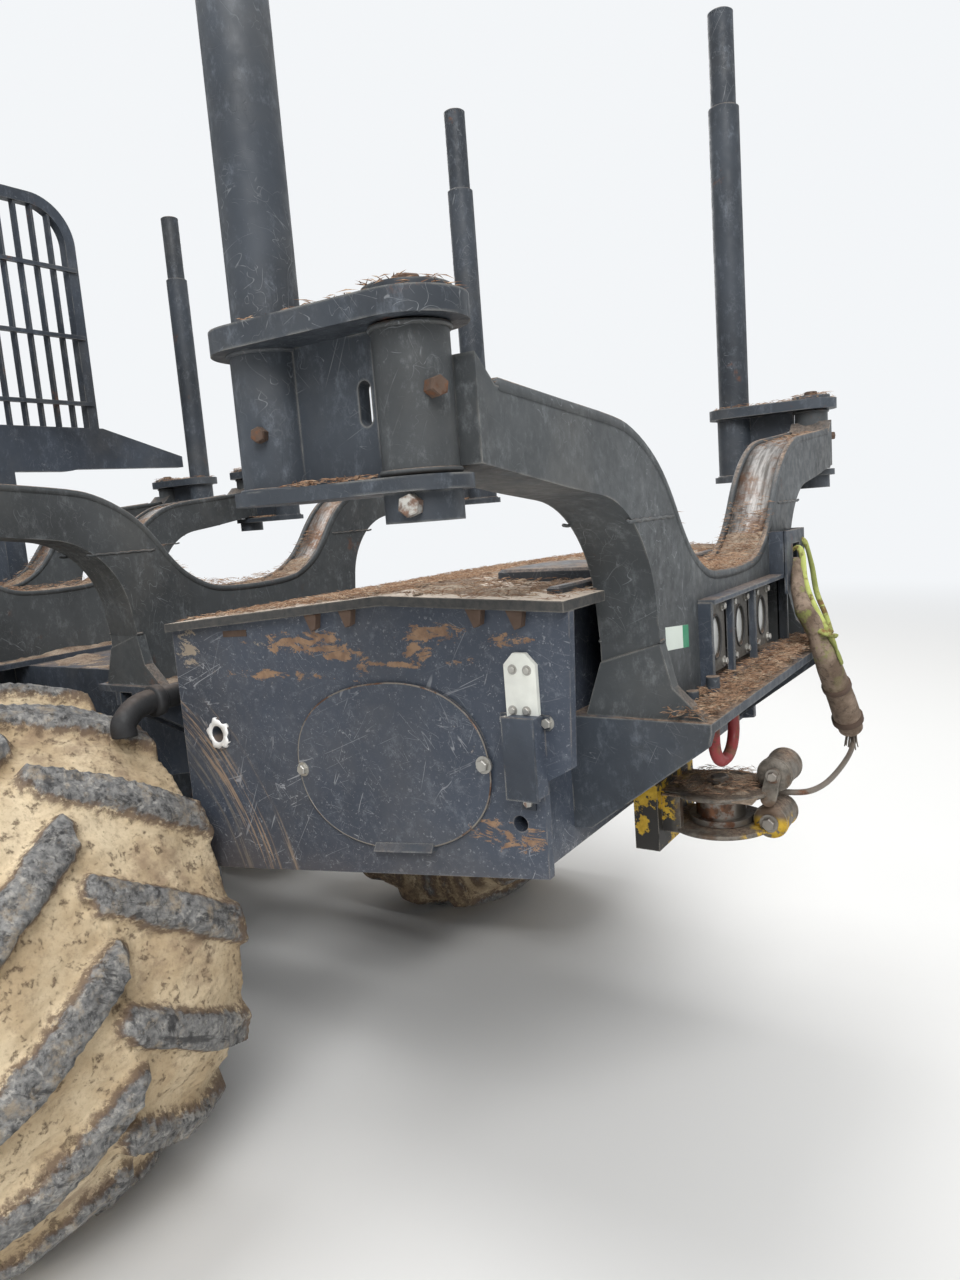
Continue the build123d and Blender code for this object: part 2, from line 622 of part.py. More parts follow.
FITTING_PEG = (-4490, -358, 1469)
FITTING = (
    # point along the fitting, and its radius there
    (rope_line.line @ 1, 11),
    (rope_line.line @ 1 + 6 * (rope_line.line % 1), 32),
    ((-4595, -430, 1050), 36),
    ((-4592, -389, 1099), 35),
    ((-4580, -310, 1200), 32),
    ((-4573, -279, 1253), 30),
    ((-4560, -276, 1300), 27),
    ((-4530, -263, 1358), 23),
    ((-4510, -290, 1407), 18),
    (FITTING_PEG, 14),
)
with BuildPart() as rope_fitting:
    spots = [Vector(*point) for point, radius in FITTING]
    rings = []
    for k, (point, radius) in enumerate(FITTING):
        reach = spots[min(k + 1, len(spots) - 1)] - spots[max(k - 1, 0)]
        with BuildSketch(Plane(origin=spots[k], x_dir=reach.cross(Vector(1, 0, 0)), z_dir=reach)) as ring:
            Circle(radius)
        rings.append(ring.sketch)
    loft(rings, ruled=True)
    rod((FITTING_PEG[0] - 16, FITTING_PEG[1], FITTING_PEG[2]), (1, 0, 0), 18, BUNK_X[0] - FITTING_PEG[0] + 16)
finish(rope_fitting.part, "rope_fitting")

# Rear lamps: three plates over a bay in the rearmost bunk, each on its own can
LAMP_Z = (1285, 1438)
with BuildPart() as rear_lamps:
    back = BUNK_X[0]
    for y in (194, 22, -155):
        middle = (y, sum(LAMP_Z) / 2)
        block((back - 12, y - 62, LAMP_Z[0]), (back, y + 62, LAMP_Z[1]))
        for start_x, half_wide, half_high, amount, mode in (
            (back - 12, 32, 46.5, 8, Mode.SUBTRACT),
            (back, 40, 54, LAMP_BAY[1][0], Mode.ADD),
        ):
            with BuildSketch(Plane.YZ.offset(start_x)) as oval:
                with Locations(middle):
                    Ellipse(half_wide, half_high)
            extrude(oval.sketch, amount=amount, mode=mode)
finish(rear_lamps.part, "rear_lamps")

# Steering cylinders: barrels on the rear frame, rods that reach the front frame's ears
STEER_BARREL_END_X = 480
STEER_ROD_START_X = STEER_ANCHOR_X + 230   # leaves room for its stroke behind it
with BuildPart() as steering_cylinders:
    for side in (1, -1):
        y = side * STEER_LUG_Y
        barrel_length = STEER_BARREL_END_X - STEER_ANCHOR_X + 45
        rod((STEER_ANCHOR_X - 45, y, STEER_Z), (1, 0, 0), STEER_BARREL_R, barrel_length)
        rod((STEER_ANCHOR_X, y, STEER_Z), (1, 0, 0), STEER_ROD_R + RUN_GAP, 700, mode=Mode.SUBTRACT)
finish(steering_cylinders.part, "steering_cylinders")
for side, side_name in ((1, "left"), (-1, "right")):
    with BuildPart() as steering_rod:
        y = side * STEER_LUG_Y
        rod((STEER_ROD_START_X, y, STEER_Z), (1, 0, 0), STEER_ROD_R, JOINT_X - STEER_ROD_START_X)
        upright(JOINT_X, y, STEER_Z - 30, STEER_Z + 30, 45)
    finish(steering_rod.part, "steering_rod_" + side_name)

# Front frame: half of the steering joint, axle, body beams, bumper and ladder
FRONT_LOW_X, FRONT_HIGH_X = 1010, 4500
FORK_GAP = 2
HUB_LOW_Z = FRAME_LOW_Z + 20 + FORK_PLATE + FORK_GAP
HUB_HIGH_Z = FRAME_TOP_Z - 20 - FORK_PLATE - FORK_GAP
BUMPER_HALF = 900
HOOD_HINGE = (4400, 1450)
HOOD_EAR_Y = 203
HOOD_PIN_R = 20
with BuildPart() as front_frame:
    upright(JOINT_X, 0, HUB_LOW_Z, HUB_HIGH_Z, JOINT_HUB_R)
    block((JOINT_X, -110, HUB_LOW_Z), (FRONT_LOW_X, 110, HUB_HIGH_Z))
    upright(JOINT_X, 0, HUB_LOW_Z - 10, HUB_HIGH_Z + 10, JOINT_PIN_R + RUN_GAP, mode=Mode.SUBTRACT)
    block((FRONT_LOW_X, -230, 850), (FRONT_HIGH_X, 230, 1250))
    block((FRONT_LOW_X, -360, 960), (FRONT_LOW_X + 100, 360, 1130))
    for side in (1, -1):
        near, far = span(side, STEER_LUG_Y - 50, STEER_LUG_Y + 50)
        block((FRONT_LOW_X - 80, near, STEER_Z - 55), (FRONT_LOW_X, far, STEER_Z + 55))
        for z in (STEER_Z - 55, STEER_Z + 35):
            block((JOINT_X - 45, near, z), (FRONT_LOW_X - 80, far, z + 20))
        near, far = span(side, 230, 680)
        for x in (1180, 2300):
            block((x, near, 1170), (x + 120, far, 1250))
            near_foot, far_foot = span(side, 560, 680)
            block((x, near_foot, 1250), (x + 120, far_foot, 1400))
    axle(sum(FRONT_AXLE_X) / 2)
    block((FRONT_HIGH_X, -BUMPER_HALF, 1050), (BUMPER_X, BUMPER_HALF, 1350))
    for y in (-200, 200):
        for z in (1120, 1280):
            rod((BUMPER_X + 10, y, z), (-1, 0, 0), 13, 200, mode=Mode.SUBTRACT)
    for z in (620, 900, 1180):
        block((1140, 700, z), (1310, 960, z + 30))
    for x in (1130, 1310):
        side_plate([(x, 600), (x + 20, 600), (x + 20, 1400), (x, 1400)], 800, 830)
    block((1130, 660, 1370), (1330, 830, 1400))
    for side in (1, -1):
        near, far = span(side, HOOD_EAR_Y, HOOD_EAR_Y + 20)
        block((HOOD_HINGE[0] - 40, near, 1250), (HOOD_HINGE[0] + 28, far, HOOD_HINGE[1] + 32))
        pin_start = side * (HOOD_EAR_Y - 40)
        rod((HOOD_HINGE[0], pin_start, HOOD_HINGE[1]), (0, side, 0), HOOD_PIN_R, 60)
finish(front_frame.part, "front_frame")

# Front mudguards: a bent plate over each pair of wheels, on three cross bars
GUARD_Z = 1400
GUARD_PLATE = 12
with BuildPart() as front_mudguards:
    top = [(1400, GUARD_Z), (4210, GUARD_Z), (4310, GUARD_Z - 90)]
    over = [(x + rise, z + GUARD_PLATE) for (x, z), rise in zip(reversed(top), (6, 6, 0))]
    for side in (1, -1):
        near, far = span(side, 850, 1415)
        side_plate(top + over, near, far)
        near, far = span(side, 170, 900)
        post_near, post_far = span(side, 170, 210)
        for x in (1700, 2745, 4165):
            block((x, near, GUARD_Z - 40), (x + 40, far, GUARD_Z - 15))
            block((x, post_near, 1250), (x + 40, post_far, GUARD_Z - 40))
            tip_near, tip_far = span(side, 860, 900)
            block((x, tip_near, GUARD_Z - 15), (x + 40, tip_far, GUARD_Z))
finish(front_mudguards.part, "front_mudguards")

# Cab: a hollow shell with window openings, a door opening on the left and a sloping windscreen
CAB_HALF = 800
CAB_WALL = 60
SILL_Z, LINTEL_Z = 2300, 3520
DOOR_X = (1750, 2450)
DOOR_Z = (1450, 3600)
DOOR_GAP = 6
QUARTER_X = (1230, 1680)
DOOR_HINGE_Y = 819
DOOR_HINGE_Z = (1700, 2550, 3400)
DOOR_HINGE_R = 18
DOOR_PIN_R = 10
with BuildPart() as cab:
    side_plate([(CAB_REAR_X, 1400), (2640, 1400), (2700, 2500), (2540, 3700), (CAB_REAR_X, 3700)],
               -CAB_HALF, CAB_HALF)
    side_plate([(CAB_REAR_X + 60, 1460), (2583, 1460), (2639, 2500), (2486, 3640), (CAB_REAR_X + 60, 3640)],
               CAB_WALL - CAB_HALF, CAB_HALF - CAB_WALL, mode=Mode.SUBTRACT)
    block((QUARTER_X[0], -900, SILL_Z), (QUARTER_X[1], 900, LINTEL_Z), mode=Mode.SUBTRACT)
    block((DOOR_X[0], -900, SILL_Z), (DOOR_X[1], 0, LINTEL_Z), mode=Mode.SUBTRACT)
    block((DOOR_X[0], 0, DOOR_Z[0]), (DOOR_X[1], 900, DOOR_Z[1]), mode=Mode.SUBTRACT)
    block((CAB_REAR_X - 10, -640, SILL_Z), (CAB_REAR_X + 70, 640, LINTEL_Z), mode=Mode.SUBTRACT)
    block((2400, -700, 2560), (2800, 700, 3560), mode=Mode.SUBTRACT)
    for z in DOOR_HINGE_Z:
        block((DOOR_X[0] - 50, CAB_HALF, z - 40), (DOOR_X[0], DOOR_HINGE_Y + 10, z))
        upright(DOOR_X[0], DOOR_HINGE_Y, z - 40, z, DOOR_HINGE_R)
        upright(DOOR_X[0], DOOR_HINGE_Y, z, z + 60, DOOR_PIN_R)
finish(cab.part, "cab")

PANE = 8
with BuildPart() as cab_glass:
    inside = CAB_HALF - CAB_WALL / 2
    for x_pair, sides in ((QUARTER_X, (1, -1)), (DOOR_X, (-1,))):
        for side in sides:
            near, far = span(side, inside, inside + PANE)
            block((x_pair[0], near, SILL_Z), (x_pair[1], far, LINTEL_Z))
    block((CAB_REAR_X + 30, -640, SILL_Z), (CAB_REAR_X + 30 + PANE, 640, LINTEL_Z))
    side_plate([(2660, 2560), (2668, 2560), (2535, 3560), (2527, 3560)], -700, 700)
finish(cab_glass.part, "cab_glass")

with BuildPart() as cab_door:
    leaf_y = CAB_HALF - CAB_WALL + 2
    block((DOOR_X[0] + DOOR_GAP, leaf_y, DOOR_Z[0] + DOOR_GAP),
          (DOOR_X[1] - DOOR_GAP, CAB_HALF, DOOR_Z[1] - DOOR_GAP))
    block((DOOR_X[0] + 90, 0, SILL_Z), (DOOR_X[1] - 90, 900, LINTEL_Z), mode=Mode.SUBTRACT)
    block((DOOR_X[1] - 75, CAB_HALF, 2100), (DOOR_X[1] - 45, CAB_HALF + 35, 2260))
    for z in DOOR_HINGE_Z:
        block((DOOR_X[0] + DOOR_GAP, CAB_HALF, z + 1), (DOOR_X[0] + 50, DOOR_HINGE_Y + 10, z + 60))
        upright(DOOR_X[0], DOOR_HINGE_Y, z + 1, z + 60, DOOR_HINGE_R)
        upright(DOOR_X[0], DOOR_HINGE_Y, z, z + 70, DOOR_PIN_R + RUN_GAP, mode=Mode.SUBTRACT)
finish(cab_door.part, "cab_door")
with BuildPart() as door_glass:
    block((DOOR_X[0] + 90, CAB_HALF - 34, SILL_Z), (DOOR_X[1] - 90, CAB_HALF - 26, LINTEL_Z))
finish(door_glass.part, "door_glass")

with BuildPart() as operator_seat:
    block((1750, -200, 1460), (2050, 200, 1850))
    block((1680, -270, 1850), (2150, 270, 1980))
    side_plate([(1640, 1900), (1760, 1900), (1690, 2750), (1590, 2750)], -260, 260)
    for y in (-310, 260):
        block((1720, y, 1980), (2100, y + 50, 2130))
finish(operator_seat.part, "operator_seat")

# Hood and the engine under it
HOOD_HALF = 620
HOOD_WALL = 20
EXHAUST_R = 55
HOOD_LINE = [
    (HOOD_REAR_X, 1400), (HOOD_FRONT_X, 1400), (HOOD_FRONT_X, 2180), (4340, 2260), (HOOD_REAR_X, 2500),
]
HOOD_HOLLOW = [
    (HOOD_REAR_X + 20, 1390), (HOOD_FRONT_X - 20, 1390), (HOOD_FRONT_X - 20, 2170),
    (4330, 2240), (HOOD_REAR_X + 20, 2478),
]
with BuildPart() as hood:
    side_plate(HOOD_LINE, -HOOD_HALF, HOOD_HALF)
    side_plate(HOOD_HOLLOW, HOOD_WALL - HOOD_HALF, HOOD_HALF - HOOD_WALL, mode=Mode.SUBTRACT)
    for side in (1, -1):
        near, far = span(side, HOOD_EAR_Y - 30, HOOD_EAR_Y - EAR_GAP)
        hinge_x, hinge_z = HOOD_HINGE
        tab = [(HOOD_FRONT_X - 10, 1402), (hinge_x - 30, hinge_z - 25), (hinge_x - 30, hinge_z + 25),
               (HOOD_FRONT_X - 10, 1530)]
        side_plate(tab, near, far)
        rod((hinge_x, side * 100, hinge_z), (0, side, 0), HOOD_PIN_R + RUN_GAP, 200, mode=Mode.SUBTRACT)
        near, far = span(side, HOOD_EAR_Y - EAR_GAP, HOOD_EAR_Y + 20 + EAR_GAP)
        block((HOOD_FRONT_X - 30, near, 1390), (HOOD_FRONT_X + 10, far, hinge_z + 60), mode=Mode.SUBTRACT)
    for k in range(4):
        low = 1560 + 130 * k
        block((HOOD_FRONT_X - 40, -420, low), (HOOD_FRONT_X + 10, 420, low + 60), mode=Mode.SUBTRACT)
    for k in range(3):
        low = 3100 + 330 * k
        block((low, -700, 1800), (low + 220, 700, 1850), mode=Mode.SUBTRACT)
    upright(3050, -470, 2440, 2850, EXHAUST_R)
finish(hood.part, "hood")

with BuildPart() as engine:
    block((3000, -350, 1250), (4150, 350, 2060))
    block((4230, -450, 1250), (4330, 450, 2080))
    block((4150, -120, 1300), (4230, 120, 1700))
finish(engine.part, "engine")

with BuildPart() as work_lamps:
    for x, facing in ((1210, -1), (2440, 1)):
        for y in (-560, 560):
            block((x - 40, y - 80, 3700), (x + 40, y + 80, 3800))
            rod((x + facing * 40, y, 3752), (facing, 0, 0), 38, 12)
finish(work_lamps.part, "work_lamps")


def crane_plane(reach, z, angle):
    """Return the plane of a crane arm: its x runs out along the arm and its z is the machine's +Y."""
    turn = radians(angle)
    return Plane(origin=(CRANE_X - reach, 0, z), x_dir=(-cos(turn), 0, sin(turn)), z_dir=(0, 1, 0))


def slab(plane, points, half, mode=Mode.ADD):
    """Extrude an outline in an arm's plane equally to both sides."""
    extrude(outline_face(points, plane), amount=half, both=True, mode=mode)


def cheeks(plane, points, near, far, mode=Mode.ADD):
    """Extrude an outline in an arm's plane into a pair of plates either side of its middle."""
    for low in (near, -far):
        extrude(outline_face(points, plane.offset(low)), amount=far - near, mode=mode)


def boss(plane, along, rise, radius, half, mode=Mode.ADD):
    """Add a round boss across an arm."""
    with BuildSketch(plane.offset(-half)) as face:
        with Locations((along, rise)):
            Circle(radius)
    extrude(face.sketch, amount=2 * half, mode=mode)


def arm_point(start, angle, along, rise):
    """Return the reach and height of a point given along and above an arm."""
    turn = radians(angle)
    reach = start[0] + along * cos(turn) - rise * sin(turn)
    return reach, start[1] + along * sin(turn) + rise * cos(turn)


# Crane: pillar, lift boom, jib with its telescope, and the two cylinders that move them
SHOULDER = (SHOULDER_REACH, SHOULDER_Z)
ELBOW = arm_point(SHOULDER, BOOM_ANGLE, BOOM_LENGTH, 0)
JIB_LUG = (JIB_LUG_R * cos(radians(JIB_LUG_ANGLE)), JIB_LUG_R * sin(radians(JIB_LUG_ANGLE)))
LIFT_FOOT = (LIFT_FOOT_REACH, LIFT_FOOT_Z)
LIFT_EYE = arm_point(SHOULDER, BOOM_ANGLE, LIFT_ALONG, -LIFT_DROP)
JIB_FOOT = arm_point(SHOULDER, BOOM_ANGLE, JIB_FOOT_ALONG, JIB_FOOT_RISE)
JIB_EYE = arm_point(ELBOW, JIB_ANGLE, *JIB_LUG)
BOOM_EAR_NEAR = 80
HUB_HALF = BOOM_EAR_NEAR - EAR_GAP
EYE_HALF = 40
EYE_EAR_NEAR = EYE_HALF + EAR_GAP
EYE_EAR_FAR = EYE_EAR_NEAR + 28
EYE_PIN_R = 28
CASTING_R = 125
pillar_plane = crane_plane(0, 0, 0)
boom_plane = crane_plane(*SHOULDER, BOOM_ANGLE)
jib_plane = crane_plane(*ELBOW, JIB_ANGLE)

with BuildPart() as crane_pillar:
    upright(CRANE_X, 0, PEDESTAL_TOP_Z + HUB_GAP, 3500, PILLAR_R)
    upright(CRANE_X, 0, PEDESTAL_TOP_Z + HUB_GAP, PEDESTAL_TOP_Z + 60, 215)
    ear = [(-150, 3300), (-150, 3560), (10, 3850), (190, 3850), (225, 3760), (200, 3500), (165, 3300)]
    cheeks(pillar_plane, ear, BOOM_EAR_NEAR, BOOM_EAR_NEAR + EAR)
    boss(pillar_plane, *SHOULDER, CRANE_PIN_R, BOOM_EAR_NEAR + EAR + 10)
    foot = [(100, 2370), (LIFT_FOOT_REACH + 20, 2380), (LIFT_FOOT_REACH + 65, 2430),
            (LIFT_FOOT_REACH + 50, 2500), (100, 2640)]
    cheeks(pillar_plane, foot, EYE_EAR_NEAR, EYE_EAR_FAR)
    boss(pillar_plane, *LIFT_FOOT, EYE_PIN_R, EYE_EAR_FAR)
finish(crane_pillar.part, "crane_pillar")

BOX_END = 2540
with BuildPart() as lift_boom:
    slab(boom_plane, [(0, -80), (400, -BOOM_HALF), (BOX_END, -BOOM_HALF), (BOX_END, BOOM_HALF),
                      (400, BOOM_HALF), (0, 100)], HUB_HALF)
    boss(boom_plane, 0, 0, CASTING_R, HUB_HALF)
    boss(boom_plane, 0, 0, CRANE_PIN_R + RUN_GAP, 200, mode=Mode.SUBTRACT)
    fork = [(2150, -90), (BOOM_LENGTH, -115), (BOOM_LENGTH + 100, -60), (BOOM_LENGTH + 100, 60),
            (BOOM_LENGTH, 115), (2150, 95)]
    cheeks(boom_plane, fork, BOOM_EAR_NEAR, BOOM_EAR_NEAR + EAR)
    slab(boom_plane, [(2150, -90), (BOX_END, -90), (BOX_END, 95), (2150, 95)], BOOM_EAR_NEAR)
    boss(boom_plane, BOOM_LENGTH, 0, CRANE_PIN_R, BOOM_EAR_NEAR + EAR + 10)
    eye_ears = [(LIFT_ALONG - 230, -80), (LIFT_ALONG + 300, -95), (LIFT_ALONG + 210, -LIFT_DROP - 60),
                (LIFT_ALONG - 40, -LIFT_DROP - 60)]
    cheeks(boom_plane, eye_ears, EYE_EAR_NEAR, EYE_EAR_FAR)
    jib_foot = [(JIB_FOOT_ALONG - 150, 95), (JIB_FOOT_ALONG + 150, 95),
                (JIB_FOOT_ALONG + 45, JIB_FOOT_RISE + 35), (JIB_FOOT_ALONG - 45, JIB_FOOT_RISE + 35)]
    cheeks(boom_plane, jib_foot, EYE_EAR_NEAR, EYE_EAR_FAR)
    boss(boom_plane, JIB_FOOT_ALONG, JIB_FOOT_RISE, EYE_PIN_R, EYE_EAR_FAR)
finish(lift_boom.part, "lift_boom")

SLEEVE = JIB_HALF - JIB_WALL
INNER = SLEEVE - SLIDE_GAP
PAD_GAP = 0.3
with BuildPart() as jib:
    slab(jib_plane, [(0, -95), (200, -JIB_HALF), (JIB_LENGTH, -JIB_HALF), (JIB_LENGTH, JIB_HALF),
                     (200, JIB_HALF), (0, 95)], JIB_HALF)
    lug = [(-60, -60), (90, -80), (160, 60), (JIB_LUG[0] + 40, JIB_LUG[1] + 60),
           (JIB_LUG[0] - 45, JIB_LUG[1] + 45), (JIB_LUG[0] - 50, JIB_LUG[1] - 40)]
    cheeks(jib_plane, lug, EYE_EAR_NEAR, EYE_EAR_FAR)
    boss(jib_plane, 0, 0, CASTING_R, HUB_HALF)
    slab(jib_plane, [(300, -SLEEVE), (JIB_LENGTH + 50, -SLEEVE), (JIB_LENGTH + 50, SLEEVE), (300, SLEEVE)],
         SLEEVE, mode=Mode.SUBTRACT)
    boss(jib_plane, 0, 0, CRANE_PIN_R + RUN_GAP, 200, mode=Mode.SUBTRACT)
    mouth = [(JIB_LENGTH - 80, -SLEEVE - 2), (JIB_LENGTH, -SLEEVE - 2), (JIB_LENGTH, SLEEVE + 2),
             (JIB_LENGTH - 80, SLEEVE + 2)]
    slab(jib_plane, mouth, SLEEVE + 2)
    slab(jib_plane, [(x, rise / (SLEEVE + 2) * (INNER + PAD_GAP)) for x, rise in mouth], INNER + PAD_GAP,
         mode=Mode.SUBTRACT)
finish(jib.part, "jib")

TIP_ALONG = JIB_LENGTH + TIP_OVERHANG
with BuildPart() as telescope:
    slab(jib_plane, [(320, -INNER), (JIB_LENGTH + 50, -INNER), (JIB_LENGTH + 50, INNER), (320, INNER)], INNER)
    pad = SLEEVE - PAD_GAP
    slab(jib_plane, [(320, -pad), (400, -pad), (400, pad), (320, pad)], pad)
    tip_ear = [(JIB_LENGTH + 30, -INNER), (TIP_ALONG + 20, -55), (TIP_ALONG + 55, 0), (TIP_ALONG + 20, 55),
               (JIB_LENGTH + 30, INNER)]
    cheeks(jib_plane, tip_ear, EYE_EAR_NEAR, EYE_EAR_NEAR + 22)
    slab(jib_plane, [(JIB_LENGTH + 30, -INNER), (JIB_LENGTH + 50, -INNER), (JIB_LENGTH + 50, INNER),
                     (JIB_LENGTH + 30, INNER)], EYE_EAR_NEAR + 22)
    boss(jib_plane, TIP_ALONG, 0, EYE_PIN_R, EYE_EAR_NEAR + 22)
finish(telescope.part, "telescope")


def cylinder_pair(foot, eye, barrel_length, rod_length, names):
    """Write a hydraulic cylinder's barrel and rod between two points of the crane's plane."""
    run, rise = eye[0] - foot[0], eye[1] - foot[1]
    plane = crane_plane(*foot, degrees(atan2(rise, run)))
    far = hypot(run, rise)
    across = Plane(origin=plane.origin, z_dir=plane.x_dir)
    with BuildPart() as barrel:
        boss(plane, 0, 0, CYLINDER_EYE_R, EYE_HALF)
        with BuildSketch(across.offset(40)) as tube:
            Circle(CYLINDER_R)
        extrude(tube.sketch, amount=barrel_length - 40)
        with BuildSketch(across.offset(110)) as hollow:
            Circle(CYLINDER_ROD_R + RUN_GAP)
        extrude(hollow.sketch, amount=barrel_length, mode=Mode.SUBTRACT)
        cheeks(plane, [(-90, -90), (120, -90), (120, 90), (-90, 90)], EYE_HALF, 100, mode=Mode.SUBTRACT)
        boss(plane, 0, 0, EYE_PIN_R + RUN_GAP, 100, mode=Mode.SUBTRACT)
    finish(barrel.part, names[0])
    with BuildPart() as piston:
        with BuildSketch(across.offset(far - rod_length)) as round_bar:
            Circle(CYLINDER_ROD_R)
        extrude(round_bar.sketch, amount=rod_length)
        boss(plane, far, 0, CYLINDER_EYE_R - 8, EYE_HALF)
    finish(piston.part, names[1])


cylinder_pair(LIFT_FOOT, LIFT_EYE, 1080, 960, ("lift_barrel", "lift_rod"))
cylinder_pair(JIB_FOOT, JIB_EYE, 1500, 1110, ("jib_barrel", "jib_rod"))

# Hanger, rotator and grapple under the tip
TIP = arm_point(ELBOW, JIB_ANGLE, TIP_ALONG, 0)
tip_plane = crane_plane(*TIP, 0)
GRAPPLE_X = CRANE_X - TIP[0]
ROTATOR_DROP = 410
ROTATOR_PIN_R = 40
with BuildPart() as hanger:
    boss(tip_plane, 0, 0, 50, EYE_HALF)
    slab(tip_plane, [(-35, 0), (35, 0), (45, -230), (-45, -230)], EYE_HALF)
    upright(GRAPPLE_X, 0, TIP[1] - ROTATOR_DROP, TIP[1] - 220, 105)
    boss(tip_plane, 0, 0, EYE_PIN_R + RUN_GAP, 100, mode=Mode.SUBTRACT)
    rotator_foot = TIP[1] - ROTATOR_DROP
    upright(GRAPPLE_X, 0, rotator_foot - 10, rotator_foot + 120, ROTATOR_PIN_R + RUN_GAP, mode=Mode.SUBTRACT)
finish(hanger.part, "hanger")

HEAD_TOP = TIP[1] - ROTATOR_DROP - 3
CLAW_PIVOT = (200, HEAD_TOP - 265)
CLAW_PIN_R = 25
with BuildPart() as grapple_head:
    upright(GRAPPLE_X, 0, HEAD_TOP - 40, HEAD_TOP, 100)
    upright(GRAPPLE_X, 0, HEAD_TOP, HEAD_TOP + 110, ROTATOR_PIN_R)
    block((GRAPPLE_X - 110, -250, HEAD_TOP - 60), (GRAPPLE_X + 110, 250, HEAD_TOP - 40))
    plate = [(-250, HEAD_TOP - 60), (250, HEAD_TOP - 60), (250, HEAD_TOP - 290), (190, HEAD_TOP - 330),
             (-190, HEAD_TOP - 330), (-250, HEAD_TOP - 290)]
    for low_x in (-110, 90):
        cross_plate(plate, GRAPPLE_X + low_x, GRAPPLE_X + low_x + 20)
    for side in (1, -1):
        rod((GRAPPLE_X - 110, side * CLAW_PIVOT[0], CLAW_PIVOT[1]), (1, 0, 0), CLAW_PIN_R, 220)
finish(grapple_head.part, "grapple_head")

CLAW_PLATE = [
    # offsets across and up from the claw's pivot
    (65, 130), (130, 130), (150, 70), (190, -60), (215, -230), (190, -400), (110, -560), (-20, -680),
    (-180, -735), (-165, -690), (-30, -600), (60, -500), (110, -390), (120, -240), (80, -100),
    (-40, -45), (-45, 35),
]
CLAW_SKIN = [
    (190, -60), (215, -230), (190, -400), (110, -560), (-20, -680), (-180, -735),
    (-170, -715), (-28, -664), (98, -550), (174, -395), (198, -230), (174, -60),
]
CLAW_EYE = (100, 100)
CLAW_CYLINDER_PIN_R = 18
for side, side_name in ((1, "left"), (-1, "right")):
    with BuildPart() as claw:
        base_y, base_z = side * CLAW_PIVOT[0], CLAW_PIVOT[1]
        plate = [(base_y + side * y, base_z + z) for y, z in CLAW_PLATE]
        skin = [(base_y + side * y, base_z + z) for y, z in CLAW_SKIN]
        for low_x in (-82, 62):
            cross_plate(plate, GRAPPLE_X + low_x, GRAPPLE_X + low_x + 20)
        cross_plate(skin, GRAPPLE_X - 62, GRAPPLE_X + 62)
        rod((GRAPPLE_X - 200, base_y, base_z), (1, 0, 0), CLAW_PIN_R + RUN_GAP, 400, mode=Mode.SUBTRACT)
        if side == 1:
            eye_y, eye_z = base_y + CLAW_EYE[0], base_z + CLAW_EYE[1]
            rod((GRAPPLE_X - 70, eye_y, eye_z), (1, 0, 0), CLAW_CYLINDER_PIN_R, 140)
    finish(claw.part, "claw_" + side_name)

EYE_Y = CLAW_PIVOT[0] + CLAW_EYE[0]
EYE_Z = CLAW_PIVOT[1] + CLAW_EYE[1]
with BuildPart() as grapple_barrel:
    rod((GRAPPLE_X - 30, EYE_Y, EYE_Z), (1, 0, 0), 38, 60)
    rod((GRAPPLE_X, EYE_Y - 30, EYE_Z), (0, -1, 0), 39, 285)
    rod((GRAPPLE_X, EYE_Y - 55, EYE_Z), (0, -1, 0), 20 + RUN_GAP, 400, mode=Mode.SUBTRACT)
    rod((GRAPPLE_X - 50, EYE_Y, EYE_Z), (1, 0, 0), CLAW_CYLINDER_PIN_R + RUN_GAP, 100, mode=Mode.SUBTRACT)
finish(grapple_barrel.part, "grapple_barrel")
with BuildPart() as grapple_rod:
    rod((GRAPPLE_X, -EYE_Y, EYE_Z), (0, 1, 0), 20, 310)
    rod((GRAPPLE_X - 30, -EYE_Y, EYE_Z), (1, 0, 0), 36, 60)
finish(grapple_rod.part, "grapple_rod")
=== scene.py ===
import bmesh
import bpy
import json
import numpy as np
from math import cos, pi, radians, sin
from mathutils import Matrix, Vector

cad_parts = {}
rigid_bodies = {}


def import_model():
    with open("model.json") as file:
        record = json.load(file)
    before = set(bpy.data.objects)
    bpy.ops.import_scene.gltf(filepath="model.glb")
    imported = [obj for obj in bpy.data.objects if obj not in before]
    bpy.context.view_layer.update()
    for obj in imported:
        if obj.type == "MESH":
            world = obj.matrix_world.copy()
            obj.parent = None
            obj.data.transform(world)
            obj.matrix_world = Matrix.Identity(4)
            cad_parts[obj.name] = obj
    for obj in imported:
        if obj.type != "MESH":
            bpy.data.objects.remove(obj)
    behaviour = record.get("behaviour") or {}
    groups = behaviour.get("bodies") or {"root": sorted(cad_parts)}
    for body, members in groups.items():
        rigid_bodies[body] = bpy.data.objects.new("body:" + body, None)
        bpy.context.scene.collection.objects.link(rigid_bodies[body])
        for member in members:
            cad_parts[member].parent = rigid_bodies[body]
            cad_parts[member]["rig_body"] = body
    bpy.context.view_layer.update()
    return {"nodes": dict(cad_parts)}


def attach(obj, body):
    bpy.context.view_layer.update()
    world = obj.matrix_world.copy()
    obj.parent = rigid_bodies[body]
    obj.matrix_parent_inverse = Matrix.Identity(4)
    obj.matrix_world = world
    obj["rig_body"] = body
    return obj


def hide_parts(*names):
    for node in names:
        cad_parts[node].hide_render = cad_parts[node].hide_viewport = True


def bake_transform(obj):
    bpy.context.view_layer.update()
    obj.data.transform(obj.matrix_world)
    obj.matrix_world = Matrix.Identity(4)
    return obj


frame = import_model()
rng = np.random.default_rng(7)

